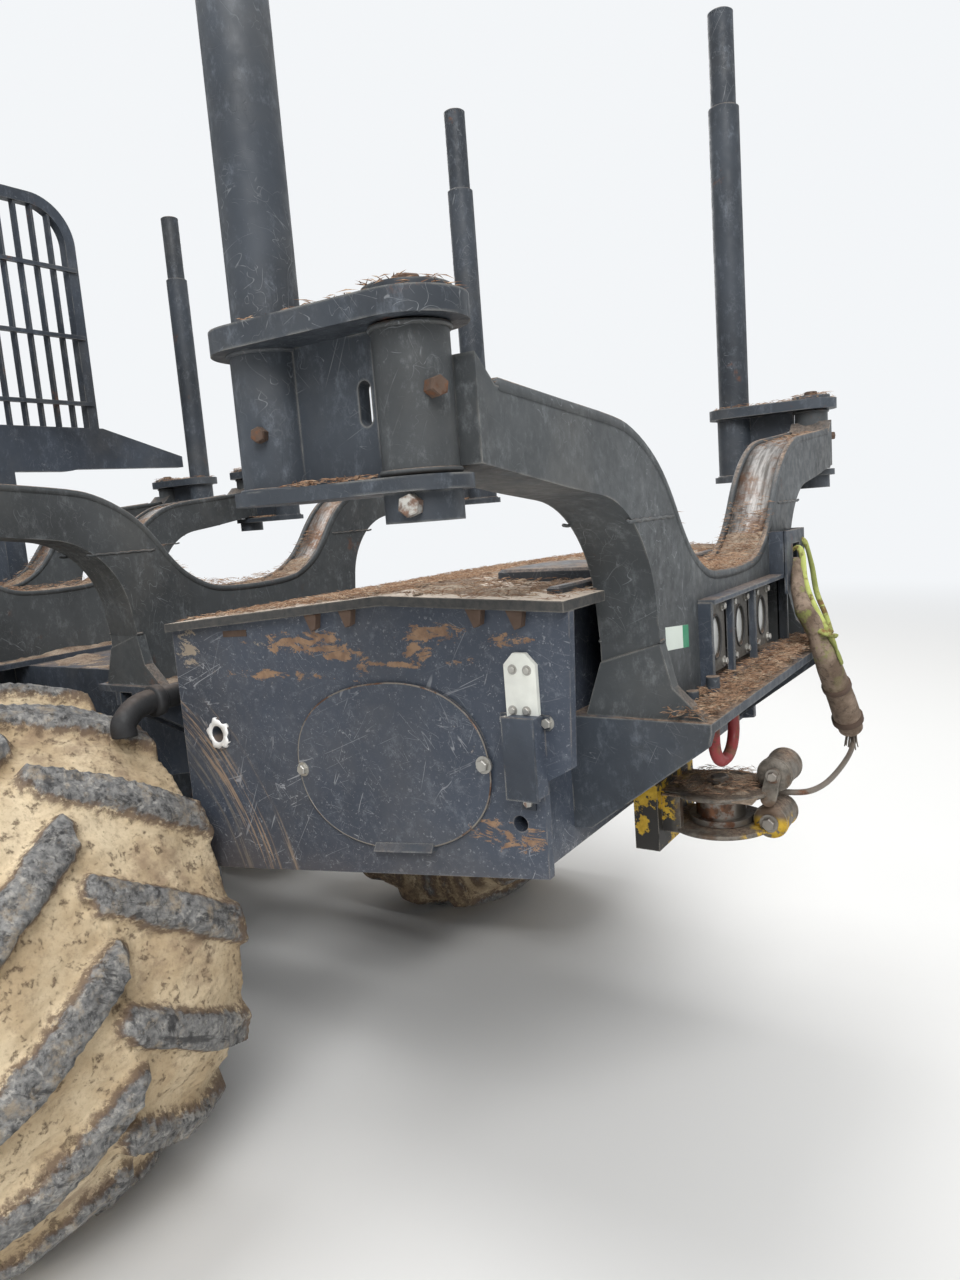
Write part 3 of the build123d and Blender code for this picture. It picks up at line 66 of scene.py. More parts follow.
# Sizes shared with the part's source, in metres
BUNK_X = (-4.440, -2.846, -1.720, -1.120)
BUNK_REACH = (1, -1, -1, -1)
BUNK_DEPTH = 0.127
HUB_SET = 0.072
SIDES = ((1, "left"), (-1, "right"))
BRACKET_SPAN = 0.257
PIVOT_Y = 1.105
SEAT_Z = 1.245
DECK_Z = 1.225
TRACK_Y = 1.065
AXLE_Z = 0.66889
LUGS = 14
BOX_SIDE_Y = 0.680
HOLE = (-3.391, 1.191)
SLEW_X = 0.060
BOGIES = (("rear", -2.090), ("front", 2.760))
COVER_MIDDLE = (-3.908, 1.158)
COVER_TILT = radians(7)
SHEAVE = (-4.410, 0.080)
ROLLERS = ((-4.542, 1.030), (-4.530, 0.918))
WHEELS = [
    (end + "_" + side + "_" + place, x, 1 if side == "left" else -1)
    for end, axles in (("rear", (-2.840, -1.340)), ("front", (2.010, 3.510)))
    for place, x in zip(("trailing", "leading"), axles)
    for side in ("left", "right")
]


# Camera and the winch rope come first
def place_camera(at, yaw, pitch, roll, lens):
    """Aim a camera: yaw turns from +X towards -Y, pitch is below level, roll turns about the view."""
    ahead = Vector((cos(yaw) * cos(pitch), -sin(yaw) * cos(pitch), -sin(pitch)))
    across = Vector((-sin(yaw), -cos(yaw), 0))
    upward = across.cross(ahead)
    right = cos(roll) * across + sin(roll) * upward
    top = -sin(roll) * across + cos(roll) * upward
    camera = bpy.data.objects.new("photo_camera", bpy.data.cameras.new("photo_camera"))
    camera.data.lens = lens
    camera.data.sensor_width = 36
    turn = Matrix((right, top, -ahead)).transposed().to_4x4()
    camera.matrix_world = Matrix.Translation(at) @ turn
    bpy.context.scene.collection.objects.link(camera)
    bpy.context.scene.camera = camera


place_camera((-5.093, 2.092, 1.67), radians(56.51), radians(8.11), radians(-4.43), 25.31)

ROPE_POINTS = [
    (-4.530, 0.040, 0.9725), (-4.585, 0.040, 0.9725), (-4.605, -0.060, 0.958), (-4.605, -0.210, 0.942),
    (-4.605, -0.373, 0.942), (-4.603, -0.462, 0.952), (-4.602, -0.484, 0.975), (-4.598, -0.470, 1.000),
]


def rope_curve(name, points, radius):
    """Lay a rope along the smooth spline that a run of control points pulls towards itself."""
    curve = bpy.data.curves.new(name, "CURVE")
    curve.dimensions = "3D"
    curve.bevel_depth = radius
    curve.bevel_resolution = 4
    curve.use_fill_caps = True
    spline = curve.splines.new("NURBS")
    spline.points.add(len(points) - 1)
    for control, place in zip(spline.points, points):
        control.co = (*place, 1)
    spline.order_u = 3
    spline.use_endpoint_u = True
    spline.resolution_u = 16
    rope = bpy.data.objects.new(name, curve)
    bpy.context.scene.collection.objects.link(rope)
    return rope


winch_rope = rope_curve("steel_rope", ROPE_POINTS, 0.007)


# Finishes: each is a node material worked out from patterns in the machine's own frame
class Finish:
    """A material with short calls for the patterns that make it up."""

    def __init__(self, name, roughness=0.6, metallic=0.0, specular=0.5):
        self.material = bpy.data.materials.new(name)
        self.material.use_nodes = True
        self.nodes = self.material.node_tree.nodes
        self.links = self.material.node_tree.links
        self.shader = self.nodes["Principled BSDF"]
        self.shader.inputs["Roughness"].default_value = roughness
        self.shader.inputs["Metallic"].default_value = metallic
        self.shader.inputs["Specular IOR Level"].default_value = specular
        self.coordinates = self.nodes.new("ShaderNodeTexCoord")

    def feed(self, socket, value):
        """Join a value to an input, or set it there."""
        if isinstance(value, bpy.types.NodeSocket):
            self.links.new(value, socket)
        elif isinstance(value, (tuple, list)) and len(value) == 3 and len(socket.default_value) == 4:
            socket.default_value = (*value, 1)
        else:
            socket.default_value = value

    def placed(self, stretch=(1, 1, 1), turn=(0, 0, 0), shift=(0, 0, 0)):
        """Return object coordinates, turned and then stretched, so that streaks lie along the turn."""
        vector = self.coordinates.outputs["Object"]
        for name, value in (("Rotation", turn), ("Scale", stretch)):
            mapping = self.nodes.new("ShaderNodeMapping")
            self.links.new(vector, mapping.inputs["Vector"])
            mapping.inputs[name].default_value = value
            vector = mapping.outputs["Vector"]
        mapping.inputs["Location"].default_value = shift
        return vector

    def noise(self, scale, detail=4.0, roughness=0.55, distortion=0.0, vector=None, **place):
        """Return cloudy noise from 0 to 1."""
        noise = self.nodes.new("ShaderNodeTexNoise")
        self.links.new(vector or self.placed(**place), noise.inputs["Vector"])
        values = (("Scale", scale), ("Detail", detail), ("Roughness", roughness), ("Distortion", distortion))
        for name, value in values:
            noise.inputs[name].default_value = value
        return noise.outputs["Fac"]

    def step(self, value, low, high, start=0.0, end=1.0):
        """Ramp a value from start to end as it goes from low to high."""
        ramp = self.nodes.new("ShaderNodeMapRange")
        ramp.interpolation_type = "SMOOTHSTEP"
        for name, number in (("From Min", low), ("From Max", high), ("To Min", start), ("To Max", end)):
            ramp.inputs[name].default_value = number
        self.links.new(value, ramp.inputs["Value"])
        return ramp.outputs["Result"]

    def patches(self, low, high, scale, detail=4.0, roughness=0.55, distortion=0.0, start=0.0, end=1.0, **place):
        """Return cloudy noise ramped from start to end between two of its levels."""
        return self.step(self.noise(scale, detail, roughness, distortion, **place), low, high, start, end)

    def math(self, operation, first, second=0.0, clamp=False):
        """Combine two values."""
        node = self.nodes.new("ShaderNodeMath")
        node.operation = operation
        node.use_clamp = clamp
        self.feed(node.inputs[0], first)
        self.feed(node.inputs[1], second)
        return node.outputs["Value"]

    def times(self, first, second):
        return self.math("MULTIPLY", first, second, True)

    def plus(self, first, second):
        return self.math("ADD", first, second, True)

    def most(self, *values):
        """Return the greatest of some values."""
        top = values[0]
        for value in values[1:]:
            top = self.math("MAXIMUM", top, value)
        return top

    def mix(self, share, first, second, strength=None):
        """Mix two colours, by a share that strength may weaken."""
        if strength is not None:
            share = self.times(share, strength)
        node = self.nodes.new("ShaderNodeMix")
        node.data_type = "RGBA"
        self.feed(node.inputs["Factor"], share)
        self.feed(node.inputs["A"], first)
        self.feed(node.inputs["B"], second)
        return node.outputs["Result"]

    def part(self, source, letter):
        """Return one part, X, Y or Z, of an output of the coordinates."""
        split = self.nodes.new("ShaderNodeSeparateXYZ")
        self.links.new(self.coordinates.outputs[source], split.inputs["Vector"])
        return split.outputs[letter]

    def upward(self, low=0.55, high=0.9):
        """Return how far a face looks up."""
        return self.step(self.part("Normal", "Z"), low, high)

    def height(self, low, high):
        """Return a ramp up the machine."""
        return self.step(self.part("Object", "Z"), low, high)

    def hairs(self, scale, turn, width=0.005, stretch=(1, 1, 0.09), keep=0.52):
        """Return thin broken scratches along the turn, where stretched noise crosses one level."""
        field = self.noise(scale, 1.0, 0.4, 0.15, turn=turn, stretch=stretch)
        away = self.math("ABSOLUTE", self.math("SUBTRACT", field, 0.5))
        broken = self.noise(scale * 0.8, 3, 0.6, turn=turn, stretch=(1, 1, 0.5), shift=(3, 1, 4))
        return self.times(self.step(away, width, width * 0.3), self.step(broken, keep, keep + 0.05))

    def blots(self, spots, ragged):
        """Return ragged patches round spots of X, Z, half length and half height on the machine's side."""
        x, z = self.part("Object", "X"), self.part("Object", "Z")
        shares = []
        for spot_x, spot_z, half_x, half_z in spots:
            a = self.math("DIVIDE", self.math("SUBTRACT", x, spot_x), half_x)
            b = self.math("DIVIDE", self.math("SUBTRACT", z, spot_z), half_z)
            square = self.math("ADD", self.math("MULTIPLY", a, a), self.math("MULTIPLY", b, b))
            shares.append(self.math("SUBTRACT", 1.0, square))
        torn = self.step(ragged, 0.36, 0.62, 0.0, 1.9)
        return self.step(self.math("SUBTRACT", self.most(*shares), torn), -0.22, -0.12)

    def attribute(self, name):
        """Return a value stored on a mesh's points."""
        node = self.nodes.new("ShaderNodeAttribute")
        node.attribute_name = name
        return node.outputs["Fac"]

    def edges(self, radius):
        """Return where a surface turns over an edge, for paint rubbed off it."""
        bevel = self.nodes.new("ShaderNodeBevel")
        bevel.samples = 4
        bevel.inputs["Radius"].default_value = radius
        geometry = self.nodes.new("ShaderNodeNewGeometry")
        dot = self.nodes.new("ShaderNodeVectorMath")
        dot.operation = "DOT_PRODUCT"
        self.links.new(bevel.outputs["Normal"], dot.inputs[0])
        self.links.new(geometry.outputs["Normal"], dot.inputs[1])
        return self.step(dot.outputs["Value"], 0.99, 0.86)

    def colour(self, value):
        self.feed(self.shader.inputs["Base Color"], value)

    def rough(self, value):
        self.feed(self.shader.inputs["Roughness"], value)

    def bump(self, value, distance, strength=1.0):
        """Raise the surface by a pattern."""
        node = self.nodes.new("ShaderNodeBump")
        node.inputs["Strength"].default_value = strength
        node.inputs["Distance"].default_value = distance
        self.links.new(value, node.inputs["Height"])
        self.links.new(node.outputs["Normal"], self.shader.inputs["Normal"])


NEEDLE_BROWN = (0.22, 0.145, 0.100)
DUST = (0.20, 0.155, 0.115)
RUST = (0.17, 0.062, 0.022)
OCHRE = (0.30, 0.190, 0.115)
SCRATCH = (0.27, 0.285, 0.30)
HAIR_TURNS = ((0, 0.45, 0), (0, 1.2, 0), (0, 2.5, 0), (1.0, 0, 0), (0, 1.85, 0))


def littered(finish, base, amount, low=0.34, high=0.60):
    """Lay needles and dust over what faces up; returns the colour and where they lie."""
    lies = finish.times(finish.upward(), finish.patches(low, high, 6, 7, 0.68))
    grain = finish.patches(0.35, 0.65, 120, 5, 0.7)
    duff = finish.mix(grain, (0.105, 0.068, 0.048), (0.36, 0.270, 0.200))
    straw = finish.patches(0.58, 0.66, 55, 3, stretch=(1, 7, 1), turn=(0, 0, 0.7))
    duff = finish.mix(straw, duff, (0.36, 0.235, 0.15), 0.7)
    return finish.mix(lies, base, duff, amount), lies


def weathered_paint(name, paint, dust_amount=0.5, scrape=0.45, roughness=0.52):
    """Satin paint: fine scratches all ways, scraped edges, rust freckles, litter on what faces up."""
    finish = Finish(name, roughness, specular=0.32)
    cloud = finish.noise(1.9, 6)
    fine = finish.noise(42, 6)
    dark, pale = tuple(c * 0.52 for c in paint), tuple(c * 1.12 for c in paint)
    base = finish.mix(finish.step(cloud, 0.33, 0.68), dark, pale)
    lines = finish.most(*[finish.hairs(20 + 7 * k, turn) for k, turn in enumerate(HAIR_TURNS)])
    broken = finish.patches(0.44, 0.60, 5, 5, 0.6, shift=(4, 1, 0))
    base = finish.mix(finish.times(lines, broken), base, SCRATCH, 0.5)
    scuffed = finish.times(finish.patches(0.50, 0.70, 24, 9, 0.82, stretch=(1, 1, 0.6)), 0.45)
    base = finish.mix(scuffed, base, tuple(min(1, c * 2.6 + 0.05) for c in paint))
    worn = finish.times(finish.edges(0.006), finish.patches(0.40, 0.56, 13, 5))
    base = finish.mix(worn, base, (0.22, 0.215, 0.20), 0.85)
    rust = finish.times(finish.patches(0.61, 0.68, 5.5, 8, 0.7), finish.step(fine, 0.45, 0.6))
    base = finish.mix(rust, base, RUST, scrape)
    haze = finish.times(finish.patches(0.46, 0.76, 3.1, 7, 0.62), 0.22)
    base = finish.mix(haze, base, (0.18, 0.170, 0.150))
    base, lies = littered(finish, base, dust_amount)
    finish.colour(base)
    rough = finish.step(fine, 0.3, 0.7, roughness - 0.1, roughness + 0.12)
    finish.rough(finish.plus(rough, finish.times(lies, 0.3)))
    relief = finish.plus(finish.times(fine, 0.35), finish.times(cloud, 0.65))
    finish.bump(finish.math("SUBTRACT", relief, finish.times(lines, 0.25)), 0.0012, 0.55)
    return finish.material


PAINT = (0.046, 0.056, 0.073)
frame_paint = weathered_paint("weathered_frame_paint", PAINT)
cast_paint = weathered_paint("weathered_casting_paint", (0.066, 0.072, 0.076), 0.9, 0.35)
plate_paint = weathered_paint("worn_plate_paint", (0.048, 0.057, 0.070), 0.95, 0.5)
crane_paint = weathered_paint("weathered_crane_paint", (0.042, 0.053, 0.068), 0.35, 0.3, 0.42)
panel_paint = weathered_paint("moulded_panel_paint", (0.046, 0.058, 0.074), 0.3, 0.12, 0.36)


def scraped_box_paint():
    """Box paint scraped by the tyre's lugs in arcs about the wheel, and rubbed down to ochre primer."""
    finish = Finish("scraped_box_paint", 0.5, specular=0.32)
    cloud = finish.noise(2.2, 6)
    fine = finish.noise(45, 6)
    ragged = finish.noise(15, 10, 0.78, 0.6, stretch=(1, 1, 2.2))
    base = finish.mix(finish.step(cloud, 0.3, 0.7), (0.034, 0.042, 0.058), (0.058, 0.070, 0.094))
    base = finish.mix(finish.patches(0.50, 0.70, 31, 9, 0.82, start=0.0, end=0.45), base, (0.190, 0.210, 0.240))
    base = finish.mix(finish.patches(0.60, 0.70, 120, 3, 0.8, start=0.0, end=0.5), base, (0.33, 0.34, 0.36))
    lines = finish.most(*[finish.hairs(18 + 7 * k, turn) for k, turn in enumerate(HAIR_TURNS)])
    broken = finish.patches(0.42, 0.60, 3.6, 5, 0.6, shift=(1, 0, 2))
    base = finish.mix(finish.times(lines, broken), base, (0.36, 0.37, 0.39), 0.75)
    along = finish.math("ADD", finish.part("Object", "X"), 2.840)
    rise = finish.math("SUBTRACT", finish.part("Object", "Z"), AXLE_Z)
    square = finish.math("ADD", finish.math("MULTIPLY", along, along), finish.math("MULTIPLY", rise, rise))
    radius = finish.math("SQRT", square)
    angle = finish.math("ARCTAN2", rise, along)
    polar = finish.nodes.new("ShaderNodeCombineXYZ")
    finish.links.new(finish.math("MULTIPLY", radius, 95.0), polar.inputs["X"])
    finish.links.new(finish.math("MULTIPLY", angle, 2.6), polar.inputs["Y"])
    sweep = finish.noise(1.0, 4, 0.7, vector=polar.outputs["Vector"])
    for inner, outer, colour, share in (
        (0.596, 0.680, (0.20, 0.175, 0.145), 0.6),
        (0.662, 0.748, (0.32, 0.225, 0.150), 0.9),
        (0.775, 0.803, (0.34, 0.250, 0.170), 0.85),
    ):
        soft = 0.018
        band = finish.times(finish.step(radius, inner, inner + soft), finish.step(radius, outer, outer - soft))
        base = finish.mix(finish.times(band, finish.step(sweep, 0.50, 0.60)), base, colour, share)
    side = finish.step(finish.math("ABSOLUTE", finish.part("Normal", "Y")), 0.7, 0.9)
    rubbed = finish.blots([
        (-3.690, 1.415, 0.20, 0.030), (-3.575, 1.340, 0.21, 0.014), (-3.855, 1.360, 0.030, 0.060),
        (-3.800, 1.395, 0.070, 0.022), (-4.040, 1.440, 0.10, 0.022), (-4.010, 1.400, 0.040, 0.030),
        (-4.120, 1.385, 0.075, 0.010), (-4.215, 1.430, 0.060, 0.018), (-4.235, 1.330, 0.016, 0.060),
        (-4.195, 1.042, 0.115, 0.034), (-3.960, 1.375, 0.11, 0.007),
    ], ragged)
    primer = finish.mix(finish.step(fine, 0.35, 0.65), OCHRE, (0.20, 0.120, 0.075))
    base = finish.mix(finish.times(rubbed, side), base, primer)
    pale = finish.blots([(-3.315, 1.392, 0.050, 0.052), (-3.560, 1.412, 0.040, 0.018)], ragged)
    base = finish.mix(finish.times(pale, side), base, (0.33, 0.27, 0.20), 0.85)
    flecks = finish.times(finish.patches(0.685, 0.70, 26, 7, 0.75, shift=(5, 0, 2)), side)
    base = finish.mix(flecks, base, (0.30, 0.27, 0.24), 0.8)
    worn = finish.times(finish.edges(0.005), finish.patches(0.42, 0.6, 20, 5))
    base = finish.mix(worn, base, (0.22, 0.20, 0.18), 0.8)
    dust = finish.times(finish.patches(0.46, 0.8, 2.4, 7, 0.62), 0.22)
    base = finish.mix(dust, base, (0.19, 0.175, 0.155))
    splash = finish.times(finish.step(finish.part("Object", "Z"), 1.02, 0.86), finish.step(cloud, 0.35, 0.7))
    base = finish.mix(splash, base, (0.115, 0.085, 0.060), 0.55)
    finish.colour(base)
    finish.rough(finish.step(fine, 0.3, 0.7, 0.40, 0.62))
    relief = finish.plus(finish.times(fine, 0.3), finish.times(ragged, 0.7))
    finish.bump(finish.math("SUBTRACT", relief, finish.times(rubbed, 0.3)), 0.001, 0.6)
    return finish.material


def roof_finish():
    """Box roof: worn paint with only its rim bare, under pale dust, needles and bark crumbs."""
    finish = Finish("littered_roof", 0.8, specular=0.25)
    cloud = finish.noise(3.2, 7, 0.65)
    fine = finish.noise(60, 6, 0.65)
    base = finish.mix(finish.step(fine, 0.3, 0.7), (0.045, 0.047, 0.048), (0.075, 0.072, 0.068))
    dusty = finish.mix(finish.step(cloud, 0.35, 0.65), (0.270, 0.215, 0.170), (0.560, 0.480, 0.395))
    dusty = finish.mix(finish.patches(0.55, 0.66, 75, 5, 0.7), dusty, (0.130, 0.085, 0.060))
    dusty = finish.mix(finish.patches(0.60, 0.70, 21, 6, 0.7), dusty, (0.26, 0.155, 0.110))
    cover = finish.times(finish.upward(), finish.patches(0.22, 0.42, 2.4, 6, 0.6, shift=(2, 5, 0)))
    base = finish.mix(cover, base, dusty)
    worn = finish.times(finish.edges(0.005), finish.patches(0.40, 0.56, 20, 5))
    base = finish.mix(worn, base, (0.24, 0.22, 0.19), 0.7)
    finish.colour(base)
    finish.bump(finish.plus(finish.times(fine, 0.4), finish.times(cloud, 0.6)), 0.004, 0.7)
    return finish.material


def forest_litter():
    """Duff of needles and crumbled bark."""
    finish = Finish("forest_litter", 0.95, specular=0.15)
    grain = finish.noise(170, 6, 0.72)
    patches = finish.noise(9, 6, 0.65)
    base = finish.mix(finish.step(patches, 0.35, 0.65), (0.215, 0.150, 0.108), (0.460, 0.370, 0.285))
    straw = finish.patches(0.60, 0.68, 60, 3, stretch=(1, 7, 1), turn=(0, 0, 0.7))
    base = finish.mix(straw, base, (0.55, 0.44, 0.32), 0.8)
    other = finish.patches(0.61, 0.69, 60, 3, stretch=(7, 1, 1), turn=(0, 0, 0.4))
    base = finish.mix(other, base, (0.24, 0.140, 0.085), 0.7)
    base = finish.mix(finish.step(grain, 0.52, 0.70), base, (0.085, 0.056, 0.040))
    finish.colour(base)
    finish.bump(grain, 0.008, 1.0)
    return finish.material


def needle_finish():
    """Dry needles, each clump of them its own brown."""
    finish = Finish("dry_needles", 0.8, specular=0.2)
    tone = finish.noise(33, 4, 0.8)
    base = finish.mix(finish.step(tone, 0.35, 0.55), (0.120, 0.062, 0.038), (0.30, 0.185, 0.115))
    finish.colour(finish.mix(finish.step(tone, 0.52, 0.66), base, (0.52, 0.40, 0.28)))
    return finish.material


def muddy_tyre():
    """Rubber: dark scuffed lug tops, brown crumbs at their feet, dried tan mud between them."""
    finish = Finish("muddy_tyre", 0.85, specular=0.3)
    mud = finish.attribute("mud")
    cloud = finish.noise(5, 7, 0.6)
    fine = finish.noise(70, 6, 0.65)
    rubber = finish.mix(finish.step(fine, 0.3, 0.7), (0.085, 0.085, 0.086), (0.240, 0.235, 0.225))
    for k, turn in enumerate(((0.2, 0.3, 0.5), (1.0, 0.1, 1.2), (0.4, 1.3, 0.2))):
        cut = finish.noise(26 + 5 * k, 5, 0.7, 0.3, stretch=(1, 1, 0.12), turn=turn)
        rubber = finish.mix(finish.step(cut, 0.56, 0.66, 0.0, 0.8), rubber, (0.030, 0.029, 0.030))
        rubber = finish.mix(finish.step(cut, 0.42, 0.34, 0.0, 0.5), rubber, (0.42, 0.40, 0.36))
    dirt = finish.patches(0.50, 0.66, 21, 8, 0.75)
    rubber = finish.mix(dirt, rubber, (0.34, 0.265, 0.175), 0.55)
    tan = finish.mix(finish.step(cloud, 0.35, 0.68), (0.43, 0.325, 0.200), (0.66, 0.545, 0.375))
    tan = finish.mix(finish.patches(0.5, 0.7, 90, 4, 0.7, start=0.0, end=0.35), tan, (0.30, 0.22, 0.14))
    pits = finish.patches(0.545, 0.64, 30, 8, 0.78)
    tan = finish.mix(pits, tan, (0.135, 0.088, 0.060), 0.75)
    stain = finish.patches(0.53, 0.64, 3.4, 8, 0.68, shift=(3, 3, 3))
    tan = finish.mix(stain, tan, (0.22, 0.150, 0.100), 0.65)
    ragged = finish.math("ADD", mud, finish.patches(0.25, 0.75, 30, 8, 0.75, start=-0.22, end=0.22))
    foot = finish.times(finish.step(ragged, 0.26, 0.44), finish.step(ragged, 0.98, 0.66))
    base = finish.mix(finish.step(ragged, 0.42, 0.60), rubber, tan)
    crumbs = finish.patches(0.38, 0.52, 40, 7, 0.75, shift=(1, 5, 2))
    base = finish.mix(finish.times(foot, crumbs), base, (0.120, 0.080, 0.056), 0.85)
    finish.colour(base)
    finish.rough(finish.step(mud, 0.2, 0.8, 0.62, 0.95))
    finish.bump(finish.plus(finish.times(fine, 0.55), finish.times(pits, 0.45)), 0.006, 0.75)
    return finish.material


def plain_finish(name, colour, roughness, metallic=0.0, grain=60, spread=0.25, rust=0.0, dust=0.3, relief=0.0006):
    """A single stuff with cloudy variation, freckles of rust and dust on top."""
    finish = Finish(name, roughness, metallic, 0.4)
    cloud = finish.noise(4, 6)
    fine = finish.noise(grain, 6)
    low = tuple(c * (1 - spread) for c in colour)
    high = tuple(min(1, c * (1 + spread)) for c in colour)
    base = finish.mix(finish.step(cloud, 0.3, 0.7), low, high)
    if rust:
        spots = finish.patches(0.66 - 0.3 * rust, 0.74 - 0.3 * rust, 12, 8, 0.7)
        rusty = finish.mix(finish.step(fine, 0.35, 0.65), RUST, (0.075, 0.035, 0.02))
        base = finish.mix(spots, base, rusty, 0.85)
    if dust:
        lying = finish.times(finish.upward(), finish.patches(0.3, 0.65, 8, 6))
        base = finish.mix(lying, base, NEEDLE_BROWN, dust)
    finish.colour(base)
    finish.rough(finish.step(fine, 0.3, 0.7, max(0.05, roughness - 0.1), min(1, roughness + 0.15)))
    finish.bump(fine, relief, 0.6)
    return finish.material


def fairlead_finish():
    """Worn grey-brown steel, greasy and muddy, with yellow paint left by its root and lower arm."""
    finish = Finish("worn_fairlead", 0.6, 0.25, 0.4)
    fine = finish.noise(60, 6, 0.65)
    cloud = finish.noise(11, 7, 0.68)
    steel = finish.mix(finish.step(fine, 0.3, 0.7), (0.075, 0.068, 0.058), (0.20, 0.175, 0.145))
    steel = finish.mix(finish.step(cloud, 0.50, 0.64), steel, (0.105, 0.062, 0.036), 0.8)
    yellow = finish.mix(finish.step(fine, 0.35, 0.65), (0.42, 0.26, 0.02), (0.58, 0.38, 0.04))
    root = finish.step(finish.part("Object", "X"), -4.345, -4.318)
    lower_arm = finish.step(finish.part("Object", "Z"), 0.935, 0.915)
    low = finish.times(lower_arm, finish.step(finish.part("Object", "X"), -4.48, -4.50))
    left = finish.times(finish.most(root, low), finish.patches(0.51, 0.48, 13, 8, 0.72, shift=(1, 2, 0)))
    base = finish.mix(root, steel, (0.030, 0.028, 0.026))
    base = finish.mix(left, base, yellow)
    worn = finish.times(finish.edges(0.004), finish.patches(0.4, 0.56, 25, 5))
    base = finish.mix(worn, base, (0.30, 0.275, 0.235), 0.8)
    base, _ = littered(finish, base, 0.8, 0.40, 0.62)
    finish.colour(base)
    finish.bump(finish.plus(finish.times(fine, 0.5), finish.times(cloud, 0.5)), 0.0025, 0.7)
    return finish.material


def channel_steel():
    """Bunk floor polished by logs: bare streaks along the arm, rust and caked bark."""
    finish = Finish("log_worn_steel", 0.42, 0.5, 0.5)
    fine = finish.noise(55, 6, 0.65)
    streak = finish.noise(16, 4, 0.6, stretch=(6, 0.6, 0.6))
    base = finish.mix(finish.step(streak, 0.35, 0.62), (0.12, 0.11, 0.10), (0.34, 0.325, 0.31))
    brown = finish.times(finish.patches(0.42, 0.56, 6, 8, 0.7), finish.step(fine, 0.3, 0.55))
    base = finish.mix(brown, base, (0.155, 0.078, 0.042), 0.85)
    base, lies = littered(finish, base, 0.9, 0.46, 0.62)
    finish.colour(base)
    finish.rough(finish.plus(finish.step(fine, 0.3, 0.7, 0.34, 0.6), finish.times(lies, 0.4)))
    finish.bump(fine, 0.0015, 0.7)
    return finish.material


def sleeve_finish():
    """The rope's end sleeve and peg: grey-brown, muddy, with a green algae bloom."""
    finish = Finish("muddy_sleeve", 0.8, specular=0.25)
    fine = finish.noise(70, 6, 0.7)
    cloud = finish.noise(13, 6, 0.65)
    base = finish.mix(finish.step(cloud, 0.35, 0.65), (0.125, 0.088, 0.062), (0.27, 0.205, 0.155))
    base = finish.mix(finish.step(fine, 0.5, 0.66), base, (0.065, 0.045, 0.033), 0.7)
    green = finish.times(finish.patches(0.50, 0.60, 19, 6, 0.7, shift=(2, 0, 0)), finish.height(1.10, 1.30))
    base = finish.mix(green, base, (0.20, 0.225, 0.060), 0.75)
    finish.colour(base)
    finish.bump(fine, 0.004, 0.8)
    return finish.material


box_paint, roof_paint, litter, needles = scraped_box_paint(), roof_finish(), forest_litter(), needle_finish()
tyre_rubber, fairlead_steel, worn_channel = muddy_tyre(), fairlead_finish(), channel_steel()
sleeve = sleeve_finish()
bare_steel = plain_finish("worn_bare_steel", (0.24, 0.22, 0.195), 0.42, 0.75, rust=0.45)
bolt_steel = plain_finish("zinc_bolts", (0.42, 0.41, 0.38), 0.45, 0.7, rust=0.3)
bright_ring = plain_finish("torn_bright_metal", (0.72, 0.71, 0.69), 0.5, 0.3, dust=0.0, relief=0.003)
rusty_iron = plain_finish("rusty_iron", (0.105, 0.070, 0.052), 0.85, 0.2, rust=0.3)
hook_red = plain_finish("red_hook_paint", (0.20, 0.022, 0.024), 0.45, rust=0.5)
cylinder_black = plain_finish("black_cylinder_paint", (0.02, 0.021, 0.023), 0.4, rust=0.1)
rod_chrome = plain_finish("polished_rod", (0.62, 0.62, 0.62), 0.14, 1.0,
                          grain=200, spread=0.04, dust=0.1, relief=0.0001)
hose_rubber = plain_finish("hose_rubber", (0.018, 0.018, 0.019), 0.6, dust=0.2)
seat_cloth = plain_finish("woven_seat_cloth", (0.035, 0.036, 0.04), 0.9, grain=300, relief=0.001)
engine_iron = plain_finish("engine_iron", (0.07, 0.075, 0.08), 0.6, 0.2, rust=0.3)
lamp_black = plain_finish("lamp_black", (0.032, 0.031, 0.030), 0.6, grain=220, dust=0.7)
lamp_face = plain_finish("dusty_lamp_face", (0.075, 0.068, 0.058), 0.5, grain=120, dust=0.4)
pale_plate = plain_finish("pale_latch_plate", (0.74, 0.75, 0.69), 0.5, 0.0, rust=0.15)
label_pale = plain_finish("blank_label", (0.62, 0.68, 0.62), 0.5, grain=40, spread=0.1)
strap_green = plain_finish("mossy_strap", (0.27, 0.30, 0.09), 0.85,
                           grain=60, spread=0.75, rust=0.55, dust=0.0, relief=0.002)
amber = plain_finish("amber_beacon", (0.75, 0.24, 0.02), 0.25, dust=0.1)
exhaust_rust = plain_finish("rusty_exhaust", (0.16, 0.085, 0.050), 0.8, 0.4, rust=0.7)
label_green = plain_finish("label_strip", (0.045, 0.24, 0.13), 0.5, grain=40, spread=0.1)
rim_paint = weathered_paint("weathered_rim_paint", (0.036, 0.045, 0.052), 0.5, 0.6)
rope_strands = plain_finish("rope_strands", (0.17, 0.145, 0.12), 0.6, 0.4, grain=350, rust=0.3, relief=0.003)


def clear_glass(name, tint, see_through):
    """Tinted pane with a little dust."""
    finish = Finish(name, 0.08)
    dusty = finish.patches(0.4, 0.75, 3, 7, 0.65, start=0.0, end=0.3)
    finish.colour(finish.mix(dusty, tint, DUST))
    finish.rough(finish.plus(dusty, 0.05))
    finish.shader.inputs["Alpha"].default_value = see_through
    finish.shader.inputs["IOR"].default_value = 1.5
    finish.material.surface_render_method = "BLENDED"
    return finish.material


